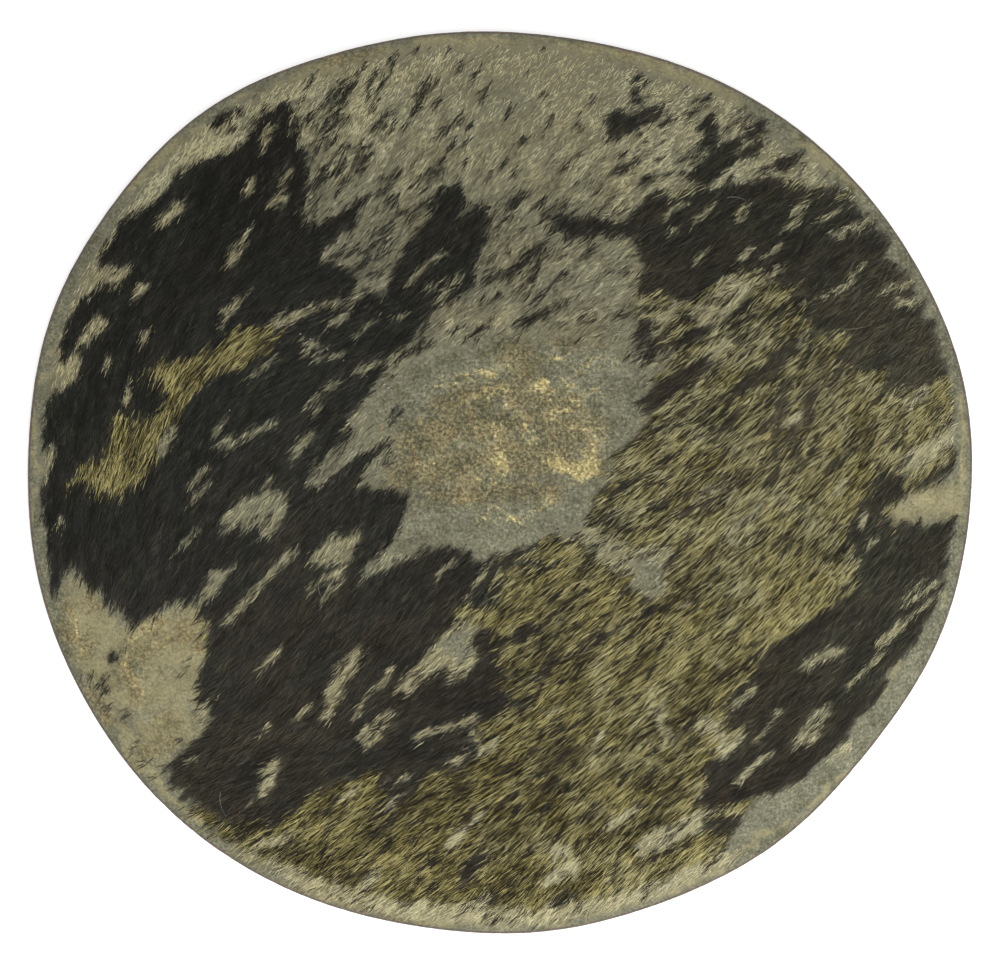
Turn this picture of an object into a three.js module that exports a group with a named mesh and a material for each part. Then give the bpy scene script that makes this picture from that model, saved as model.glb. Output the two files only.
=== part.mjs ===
// A round hide shield: one dished piece of stiff raw hide with its hair left on.
// It lies on its rim with the hair side up, in millimetres. +Z is out of its face,
// +Y is towards its top edge and +X to the right, as the face is seen.
import * as THREE from 'three';

// Driving dimensions, in millimetres
const WIDTH = 500;            // across the face, left to right
const CROWN_RISE = 48;        // crown of the dish above the top of its edge
const RIM_TURN = 0.22;        // share of that rise in the turned-down rim
const HIDE_THICKNESS = 5.5;
const RIM_LAND = 5.5;         // flat underside of the rim, where the shield rests
const BOTTOM_BEVEL = 0.8;     // between the cut edge and that flat
const EDGE_ROUND = 1.8;       // worn shoulder of the cut edge
const BARE_RIM = 10;          // bald band all round the face
const COAT_DEPTH = 2.4;       // hair above the bald skin

// Locks of hair
const LOCK_LENGTH = 31;
const LOCK_WIDTH = 11;
const LOCK_RISE = 1.5;        // a lock's ridge above the rest of the hair
const LOCK_PITCH = 25;        // least distance between roots along the hair
const LOCK_GAUGE = 10;        // and across it
const LOCK_TRIES = 7000;      // roots tried, of which those that find room are kept

// A lock's six points: share of its length, share of its width and share of its rise
const LOCK_FORM = [
  { along: 0.85, across: 0, rise: 1 },
  { along: 0.5, across: 0, rise: 0.65 },
  { along: 0, across: 0, rise: -0.25 },
  { along: 0.5, across: 0.5, rise: -0.3 },
  { along: 0.5, across: -0.5, rise: -0.3 },
  { along: 1.06, across: 0, rise: -0.35 },
];

// Hair lies from upper right to lower left, this many degrees from the level
const LEAN_EAST = 38;
const LEAN_WEST = 78;
const LEAN_CHANGES = [-70, -230];   // it steepens between these places along X

// How finely the surface is divided
const EDGE_SIDES = 192;       // round the cut edge
const BACK_RINGS = 14;        // the ring number K on the back has BACK_SIDES times K points
const BACK_SIDES = 6;
const OUTLINE_STEP = 8;       // along a bald patch's outline
const OUTLINE_BAND = 2.2;     // from the outline out to full hair, and in to bald skin
const CLOSEST = 3.4;          // between two points of the face
const FILL_STEP = 13;         // between points where nothing is carved

// The cut outline is a circle with slow waves: waves in a turn, depth and phase in degrees
const OUTLINE_RADIUS = 245;
const OUTLINE_WAVES = [
  { inTurn: 1, depth: 2.9, phase: 139 },
  { inTurn: 2, depth: 5.7, phase: -3 },
  { inTurn: 3, depth: 2.3, phase: 51 },
  { inTurn: 4, depth: 0.9, phase: 164 },
  { inTurn: 5, depth: 0.65, phase: -18 },
  { inTurn: 6, depth: 0.3, phase: -6 },
  { inTurn: 10, depth: 0.45, phase: 180 },
  { inTurn: 12, depth: 0.3, phase: 108 },
];

// The rim has warped off its resting plane where these waves rise above the slack
const WARP_WAVES = [
  { inTurn: 2, depth: 3, phase: 100 },
  { inTurn: 3, depth: 1.6, phase: -20 },
];
const WARP_SLACK = 0.8;

// Slow swells and hollows left in the face as it dried
const SWELLS = [
  { x: 5, y: 30, across: 60, height: 2.4 },
  { x: -110, y: 75, across: 55, height: 1.6 },
  { x: 105, y: 85, across: 50, height: -1.8 },
  { x: -75, y: -95, across: 55, height: -1.6 },
  { x: 90, y: -100, across: 60, height: 1.5 },
];

// Bald patches, as outlines of the worn skin between the areas of hair
const BARE_PATCHES = {
  topAndCrown: [
    [-106, 238], [-104, 190], [-99, 172], [-101, 140], [-82, 136], [-91, 124], [-87, 108], [-57, 102],
    [-53, 128], [-31, 160], [-19, 166], [0, 140], [-11, 101], [-31, 83], [-53, 68], [-82, 33],
    [-99, 2], [-74, 8], [-53, 1], [-48, -10], [-61, -44], [-32, -36], [-16, -41], [11, -39],
    [45, -22], [61, 1], [64, 17], [79, 43], [87, 72], [74, 96], [34, 124], [64, 140],
    [79, 158], [106, 160], [112, 190], [140, 200], [116, 240],
  ],
  lowerLeft: [
    [-215, -56], [-193, -77], [-177, -67], [-156, -62], [-152, -79], [-155, -94], [-160, -110],
    [-149, -125], [-175, -151], [-178, -175], [-240, -130], [-250, -60],
  ],
  upperLeft: [
    [-137, 180], [-161, 167], [-177, 151], [-201, 138], [-212, 117], [-228, 84], [-234, 70],
    [-262, 55], [-230, 160], [-140, 220],
  ],
  right: [[200, -19], [209, 8], [262, 14], [262, -22], [225, -23]],
  lowerRight: [
    [242, -42], [220, -84], [204, -108], [185, -129], [164, -155], [138, -168], [127, -190],
    [112, -210], [180, -210], [262, -90],
  ],
  rightOfCrown: [[48, -25], [66, -34], [92, -34], [88, -57], [74, -58], [52, -34]],
  leftNotch: [[-147, -22], [-134, -8], [-114, -3], [-106, -14], [-114, -33], [-126, -30]],
  lowNotch: [[-34, -84], [-26, -73], [-12, -75], [-14, -100], [-22, -104], [-32, -96]],
};

const DEGREE = Math.PI / 180;
const smoothstep = THREE.MathUtils.smoothstep;
const lerp = THREE.MathUtils.lerp;

function waveSum(waves, angle) {
  let sum = 0;
  for (const wave of waves) {
    sum += wave.depth * Math.cos(wave.inTurn * angle - wave.phase * DEGREE);
  }
  return sum;
}

// Width of the unscaled outline, which sets the scale that makes it WIDTH
function outlineSpan() {
  let low = 0;
  let high = 0;
  for (let degrees = 0; degrees < 360; degrees += 1) {
    const angle = degrees * DEGREE;
    const x = (OUTLINE_RADIUS + waveSum(OUTLINE_WAVES, angle)) * Math.cos(angle);
    low = Math.min(low, x);
    high = Math.max(high, x);
  }
  return high - low;
}
const OUTLINE_SCALE = WIDTH / outlineSpan();

function edgeRadius(angle) {
  return OUTLINE_SCALE * (OUTLINE_RADIUS + waveSum(OUTLINE_WAVES, angle));
}

// Upright thickness of the hide at its edge, where the dish is steepest
const EDGE_SLOPE = CROWN_RISE * (2 * (1 - RIM_TURN) + 6 * RIM_TURN) / (WIDTH / 2);
const EDGE_HEIGHT = HIDE_THICKNESS * Math.hypot(1, EDGE_SLOPE);

// How far the warped rim carries a point up, at a share of the way out to the edge
function warpLift(angle, share) {
  return Math.max(0, waveSum(WARP_WAVES, angle) - WARP_SLACK) * share ** 4;
}

// The bald face without its hair
function faceHeight(x, y) {
  const angle = Math.atan2(y, x);
  const share = Math.hypot(x, y) / edgeRadius(angle);
  let swelling = 0;
  for (const swell of SWELLS) {
    const reach = Math.hypot(x - swell.x, y - swell.y) / swell.across;
    swelling += swell.height * Math.exp(-reach * reach);
  }
  const rise = CROWN_RISE * (1 - (1 - RIM_TURN) * share ** 2 - RIM_TURN * share ** 6);
  return EDGE_HEIGHT + rise + swelling * (1 - share ** 6) + warpLift(angle, share);
}

// The back follows the face, one thickness of hide below it
function backHeight(x, y) {
  const share = Math.hypot(x, y) / edgeRadius(Math.atan2(y, x));
  return faceHeight(x, y) - HIDE_THICKNESS * Math.hypot(1, EDGE_SLOPE * share);
}

// The same run of random numbers from 0 to 1 each time
function makeRandom(seed) {
  let state = seed;
  return () => {
    state = (state * 1664525 + 1013904223) % 4294967296;
    return state / 4294967296;
  };
}

// Whether a point is inside a closed outline
function isInside(outline, x, y) {
  let inside = false;
  outline.forEach(([endX, endY], index) => {
    const [startX, startY] = outline.at(index - 1);
    const crosses = (endY > y) !== (startY > y);
    if (crosses && x < startX + (y - startY) * (endX - startX) / (endY - startY)) {
      inside = !inside;
    }
  });
  return inside;
}

function insetFromEdge(x, y) {
  return edgeRadius(Math.atan2(y, x)) - Math.hypot(x, y);
}

function hasHair(x, y) {
  const bare = Object.values(BARE_PATCHES).some((outline) => isInside(outline, x, y));
  return insetFromEdge(x, y) > BARE_RIM && !bare;
}

// Points of the face, each kept only if it isn't crowded by one kept before it
class FacePoints {
  constructor(loop) {
    this.points = [...loop];
  }

  add(x, y, relief, room) {
    const crowded = this.points.some((point) => Math.hypot(point[0] - x, point[1] - y) < room);
    if (!crowded && insetFromEdge(x, y) > EDGE_ROUND + 0.6 * room) {
      this.points.push([x, y, faceHeight(x, y) + relief]);
    }
  }
}

// The step down from hair to bald skin, as a ragged row of points on either side
function addOutline(face, outline, random) {
  const turning = Math.sign(THREE.ShapeUtils.area(outline.map(([x, y]) => ({ x, y }))));
  outline.forEach(([endX, endY], index) => {
    const [startX, startY] = outline.at(index - 1);
    const length = Math.hypot(endX - startX, endY - startY);
    const steps = Math.max(1, Math.round(length / OUTLINE_STEP));
    const outwardX = turning * (endY - startY) / length;
    const outwardY = turning * (startX - endX) / length;
    for (let step = 0; step < steps; step += 1) {
      const ragged = (random() - 0.5) * OUTLINE_STEP;
      for (const side of [-1, 1]) {
        const x = lerp(startX, endX, step / steps) + outwardX * (ragged + side * OUTLINE_BAND);
        const y = lerp(startY, endY, step / steps) + outwardY * (ragged + side * OUTLINE_BAND);
        const hairy = side > 0 && insetFromEdge(x, y) > BARE_RIM;
        face.add(x, y, hairy ? COAT_DEPTH : 0, CLOSEST);
      }
    }
  });
}

// The band of bald skin round the rim starts in the same way
function addRimStep(face) {
  const steps = Math.round(Math.PI * WIDTH / OUTLINE_STEP);
  for (let step = 0; step < steps; step += 1) {
    const angle = 2 * Math.PI * step / steps;
    for (const inset of [BARE_RIM - OUTLINE_BAND, BARE_RIM + OUTLINE_BAND]) {
      const radius = edgeRadius(angle) - inset;
      const x = radius * Math.cos(angle);
      const y = radius * Math.sin(angle);
      face.add(x, y, hasHair(x, y) ? COAT_DEPTH : 0, CLOSEST);
    }
  }
}

function hairLean(x) {
  return lerp(LEAN_EAST, LEAN_WEST, smoothstep(-x, -LEAN_CHANGES[0], -LEAN_CHANGES[1])) * DEGREE;
}

// Roots of locks, in no order but spaced along and across the lie of the hair
function makeLocks(random) {
  const locks = [];
  for (let tried = 0; tried < LOCK_TRIES; tried += 1) {
    const x = (random() - 0.5) * WIDTH;
    const y = (random() - 0.5) * WIDTH;
    const lean = hairLean(x) + (random() - 0.5) * 16 * DEGREE;
    const towards = [-Math.cos(lean), -Math.sin(lean)];
    const room = locks.every((lock) => {
      const along = ((x - lock.x) * towards[0] + (y - lock.y) * towards[1]) / LOCK_PITCH;
      const across = ((x - lock.x) * towards[1] - (y - lock.y) * towards[0]) / LOCK_GAUGE;
      return along * along + across * across > 1;
    });
    if (room && hasHair(x, y)) {
      locks.push({ x, y, towards, size: 0.85 + 0.3 * random() });
    }
  }
  return locks;
}

function addLocks(face, random) {
  const locks = makeLocks(random);
  for (const form of LOCK_FORM) {
    for (const lock of locks) {
      const along = form.along * LOCK_LENGTH * lock.size;
      const across = form.across * LOCK_WIDTH * lock.size;
      const x = lock.x + along * lock.towards[0] + across * lock.towards[1];
      const y = lock.y + along * lock.towards[1] - across * lock.towards[0];
      if (hasHair(x, y)) {
        face.add(x, y, COAT_DEPTH + form.rise * LOCK_RISE * lock.size, CLOSEST);
      }
    }
  }
}

// Even rows of points where nothing else is near
function addFill(face) {
  const rowStep = FILL_STEP * Math.sqrt(3) / 2;
  const rows = Math.ceil(WIDTH / rowStep);
  for (let row = 0; row < rows; row += 1) {
    for (let column = 0; column < rows; column += 1) {
      const x = (column + 0.5 * (row % 2)) * FILL_STEP - WIDTH / 2;
      const y = row * rowStep - WIDTH / 2;
      face.add(x, y, hasHair(x, y) ? COAT_DEPTH : 0, 0.6 * FILL_STEP);
    }
  }
}

// A triangle of the plane, anticlockwise, with the circle through its corners
function makeCell(points, corners) {
  const [[ax, ay], [bx, by], [cx, cy]] = corners.map((corner) => points[corner]);
  const twice = 2 * ((bx - ax) * (cy - ay) - (by - ay) * (cx - ax));
  const b = (bx - ax) ** 2 + (by - ay) ** 2;
  const c = (cx - ax) ** 2 + (cy - ay) ** 2;
  const x = ax + ((cy - ay) * b - (by - ay) * c) / twice;
  const y = ay + ((bx - ax) * c - (cx - ax) * b) / twice;
  return { corners, x, y, reach: (x - ax) ** 2 + (y - ay) ** 2 };
}

// The evenest triangles between points whose outer loop is convex. Each point in turn
// takes the place of the triangles whose circles hold it.
function triangulate(points) {
  const count = points.length;
  const far = 20 * WIDTH;
  const all = [...points, [-far, -far], [far, -far], [0, far]];
  let cells = [makeCell(all, [count, count + 1, count + 2])];
  for (let added = 0; added < count; added += 1) {
    const [x, y] = points[added];
    const kept = [];
    const border = new Map();
    for (const cell of cells) {
      if ((x - cell.x) ** 2 + (y - cell.y) ** 2 >= cell.reach) {
        kept.push(cell);
        continue;
      }
      cell.corners.forEach((from, index) => {
        const to = cell.corners[(index + 1) % 3];
        if (!border.delete(`${to} ${from}`)) {
          border.set(`${from} ${to}`, [from, to]);
        }
      });
    }
    for (const [from, to] of border.values()) {
      kept.push(makeCell(all, [from, to, added]));
    }
    cells = kept;
  }
  return cells.map((cell) => cell.corners).filter((corners) => Math.max(...corners) < count);
}

// A closed loop of points at a radius that depends on the angle
function loopOf(count, radiusAt, heightAt) {
  const loop = [];
  for (let index = 0; index < count; index += 1) {
    const angle = 2 * Math.PI * index / count;
    const x = radiusAt(angle) * Math.cos(angle);
    const y = radiusAt(angle) * Math.sin(angle);
    loop.push([x, y, heightAt(x, y, angle)]);
  }
  return loop;
}

// Loops from the shoulder of the edge, down and in under the rim, to the centre of the back
function makeOuterLoops() {
  const landInset = BOTTOM_BEVEL + RIM_LAND;
  const section = [
    { inset: 0.3 * EDGE_ROUND, height: EDGE_HEIGHT - 0.3 * EDGE_ROUND },
    { inset: 0, height: EDGE_HEIGHT - EDGE_ROUND },
    { inset: BOTTOM_BEVEL, height: 0 },
    { inset: landInset, height: 0 },
  ];
  const loops = [];
  for (const { inset, height } of section) {
    const radiusAt = (angle) => edgeRadius(angle) - inset;
    loops.push(loopOf(EDGE_SIDES, radiusAt, (x, y, angle) => height + warpLift(angle, 1)));
  }
  const backInset = landInset + 0.5 * HIDE_THICKNESS;
  for (let ring = BACK_RINGS; ring >= 0; ring -= 1) {
    const radiusAt = (angle) => (ring / BACK_RINGS) * (edgeRadius(angle) - backInset);
    loops.push(loopOf(Math.max(1, BACK_SIDES * ring), radiusAt, backHeight));
  }
  return loops;
}

// Triangles between two loops that may have different numbers of points
function zipLoops(inner, outer, innerStart, outerStart) {
  const triangles = [];
  const outerEnd = outer.length > 1 ? outer.length : 0;
  let onInner = 0;
  let onOuter = 0;
  while (onInner < inner.length || onOuter < outerEnd) {
    const here = innerStart + onInner % inner.length;
    const there = outerStart + onOuter % outer.length;
    const outerIsNext = (onOuter + 1) / outer.length <= (onInner + 1) / inner.length;
    if (onInner === inner.length || (onOuter < outerEnd && outerIsNext)) {
      onOuter += 1;
      triangles.push([here, there, outerStart + onOuter % outer.length]);
    } else {
      onInner += 1;
      triangles.push([here, there, innerStart + onInner % inner.length]);
    }
  }
  return triangles;
}

function makeHide() {
  const random = makeRandom(11);
  const shoulder = loopOf(EDGE_SIDES, (angle) => edgeRadius(angle) - EDGE_ROUND, faceHeight);
  const face = new FacePoints(shoulder);
  for (const outline of Object.values(BARE_PATCHES)) {
    addOutline(face, outline, random);
  }
  addRimStep(face);
  addLocks(face, random);
  addFill(face);

  const points = face.points;
  const triangles = triangulate(points);
  let inner = shoulder;
  let innerStart = 0;
  for (const loop of makeOuterLoops()) {
    triangles.push(...zipLoops(inner, loop, innerStart, points.length));
    inner = loop;
    innerStart = points.length;
    points.push(...loop);
  }

  const geometry = new THREE.BufferGeometry();
  geometry.setAttribute('position', new THREE.Float32BufferAttribute(points.flat(), 3));
  geometry.setIndex(triangles.flat());
  geometry.computeBoundingBox();
  const centre = geometry.boundingBox.getCenter(new THREE.Vector3());
  geometry.translate(-centre.x, -centre.y, 0);
  geometry.computeVertexNormals();
  return geometry;
}

const shield = new THREE.Group();
const hideMaterial = new THREE.MeshStandardMaterial({ color: 0x5a584a, roughness: 0.8, metalness: 0 });
const hide = new THREE.Mesh(makeHide(), hideMaterial);
hide.name = 'hide';
shield.add(hide);

export default shield;
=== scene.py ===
import math

import bpy
import numpy as np
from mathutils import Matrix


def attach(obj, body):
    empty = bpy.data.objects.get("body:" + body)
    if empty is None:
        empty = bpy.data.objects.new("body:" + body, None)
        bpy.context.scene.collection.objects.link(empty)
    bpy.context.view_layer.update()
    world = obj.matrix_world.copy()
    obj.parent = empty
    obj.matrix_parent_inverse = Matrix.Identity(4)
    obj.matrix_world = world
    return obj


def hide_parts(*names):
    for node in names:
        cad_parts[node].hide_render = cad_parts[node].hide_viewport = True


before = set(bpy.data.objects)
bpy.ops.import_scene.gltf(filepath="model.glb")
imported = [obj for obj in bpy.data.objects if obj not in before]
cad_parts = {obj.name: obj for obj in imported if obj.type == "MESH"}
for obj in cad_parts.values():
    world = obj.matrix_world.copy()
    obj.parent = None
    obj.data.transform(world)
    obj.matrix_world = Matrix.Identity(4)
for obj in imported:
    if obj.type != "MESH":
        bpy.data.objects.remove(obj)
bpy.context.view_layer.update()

mm = 0.001


# The camera looks straight down on the shield where it lies
photo = {
    "width": 1000,            # pixels
    "height": 956,
    "pixel": 0.5291,          # millimetres of shield to a pixel
    "middle": (500, 482.4),   # the pixel on which the shield's middle falls
    "distance": 3.0,          # metres from the camera to the floor
    "rimHeight": 0.006,
    "sensor": 36,             # millimetres
}


def placeCamera():
    data = bpy.data.cameras.new("photoCamera")
    camera = bpy.data.objects.new("photoCamera", data)
    bpy.context.scene.collection.objects.link(camera)
    bpy.context.scene.camera = camera
    across = photo["width"] * photo["pixel"] * mm
    data.sensor_width = photo["sensor"]
    data.lens = photo["sensor"] * (photo["distance"] - photo["rimHeight"]) / across
    middleX, middleY = photo["middle"]
    camera.location = (
        (photo["width"] / 2 - middleX) * photo["pixel"] * mm,
        (middleY - photo["height"] / 2) * photo["pixel"] * mm,
        photo["distance"],
    )


placeCamera()


# The dish, in millimetres, as the CAD solid has it
dish = {
    "width": 500,
    "crownRise": 48,
    "rimTurn": 0.22,          # share of the rise in the turned-down rim
    "rimPower": 6,            # how sharply it turns down
    "thickness": 5.5,
    "rimLand": 5.5,
    "bottomBevel": 0.8,
    "edgeRound": 1.8,
    "radius": 245,
    "outlineWaves": [         # waves in a turn, depth, phase in degrees
        (1, 2.9, 139), (2, 5.7, -3), (3, 2.3, 51), (4, 0.9, 164), (5, 0.65, -18), (6, 0.3, -6),
        (10, 0.45, 180), (12, 0.3, 108),
    ],
    "warpWaves": [(2, 3, 100), (3, 1.6, -20)],
    "warpSlack": 0.8,
    "warpPower": 4,
    "swells": [               # x, y, reach, height
        (5, 30, 60, 2.4), (-110, 75, 55, 1.6), (105, 85, 50, -1.8), (-75, -95, 55, -1.6),
        (90, -100, 60, 1.5),
    ],
}


def waveSum(waves, angle):
    total = 0 * angle
    for inTurn, depth, phase in waves:
        total = total + depth * np.cos(inTurn * angle - math.radians(phase))
    return total


def outlineBox():
    angle = np.radians(np.arange(0, 360, 1.0))
    radius = dish["radius"] + waveSum(dish["outlineWaves"], angle)
    x, y = radius * np.cos(angle), radius * np.sin(angle)
    return x.min(), x.max(), y.min(), y.max()


lowX, highX, lowY, highY = outlineBox()
outlineScale = dish["width"] / (highX - lowX)
middleOffset = (outlineScale * (lowX + highX) / 2, outlineScale * (lowY + highY) / 2)
rimSteepness = 2 * (1 - dish["rimTurn"]) + dish["rimPower"] * dish["rimTurn"]
edgeSlope = dish["crownRise"] * rimSteepness / (dish["width"] / 2)
edgeHeight = dish["thickness"] * math.hypot(1, edgeSlope)


def edgeRadius(angle):
    return outlineScale * (dish["radius"] + waveSum(dish["outlineWaves"], angle))


def warpLift(angle, share):
    return np.maximum(0, waveSum(dish["warpWaves"], angle) - dish["warpSlack"]) * share ** dish["warpPower"]


# x and y below are about the outline's own centre, which middleOffset moves to the frame's
def shareOut(x, y):
    return np.hypot(x, y) / edgeRadius(np.arctan2(y, x))


def faceHeight(x, y):
    share = shareOut(x, y)
    swelling = 0 * x
    for swellX, swellY, reach, height in dish["swells"]:
        swelling = swelling + height * np.exp(-((x - swellX) ** 2 + (y - swellY) ** 2) / reach ** 2)
    turnDown = share ** dish["rimPower"]
    rise = dish["crownRise"] * (1 - (1 - dish["rimTurn"]) * share ** 2 - dish["rimTurn"] * turnDown)
    return edgeHeight + rise + swelling * (1 - turnDown) + warpLift(np.arctan2(y, x), share)


def backHeight(x, y):
    return faceHeight(x, y) - dish["thickness"] * np.hypot(1, edgeSlope * shareOut(x, y))


def edgeInset(x, y):
    return edgeRadius(np.arctan2(y, x)) - np.hypot(x, y)


def smoothNoise(x, y, cell, seed, size=256):
    table = np.random.default_rng(seed).random((size, size))
    gridX, gridY = x / cell, y / cell
    column, row = np.floor(gridX).astype(int), np.floor(gridY).astype(int)
    fx, fy = gridX - column, gridY - row
    fx, fy = fx * fx * (3 - 2 * fx), fy * fy * (3 - 2 * fy)
    column, row = column % size, row % size
    nextColumn, nextRow = (column + 1) % size, (row + 1) % size
    low = table[row, column] * (1 - fx) + table[row, nextColumn] * fx
    high = table[nextRow, column] * (1 - fx) + table[nextRow, nextColumn] * fx
    return low * (1 - fy) + high * fy - 0.5


def roughNoise(x, y, cell, seed, octaves=3):
    total, weight = 0, 1
    for octave in range(octaves):
        total = total + weight * smoothNoise(x, y, cell / 2 ** octave, seed + octave)
        weight *= 0.5
    return total


# The lie of the hair, whose tips point down and left
lie = {
    "spread": 62,             # pixels over which a reading counts
    "readings": [             # pixel, pixel, degrees up from the level
        (90, 440, 84), (90, 540, 84), (150, 400, 80), (225, 480, 60), (160, 200, 55), (110, 300, 66),
        (250, 520, 48), (320, 380, 38), (340, 660, 45), (250, 770, 33), (220, 800, 27), (315, 865, 42),
        (460, 250, 55), (390, 270, 40), (610, 150, 40), (610, 280, 36), (370, 510, 57), (445, 600, 58),
        (500, 590, 32), (640, 490, 33), (470, 720, 26), (580, 700, 38), (420, 850, 30), (590, 870, 47),
        (730, 230, 40), (780, 420, 43), (860, 300, 42), (760, 720, 38), (730, 805, 30), (670, 870, 40),
        (880, 560, 48), (250, 340, 35), (200, 260, 58), (260, 160, 66), (330, 130, 52), (420, 110, 60),
        (540, 120, 58), (500, 200, 50), (300, 600, 58), (240, 640, 52), (840, 680, 45), (620, 600, 36),
        (180, 440, 66), (280, 440, 45), (700, 560, 42),
    ],
}



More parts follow.
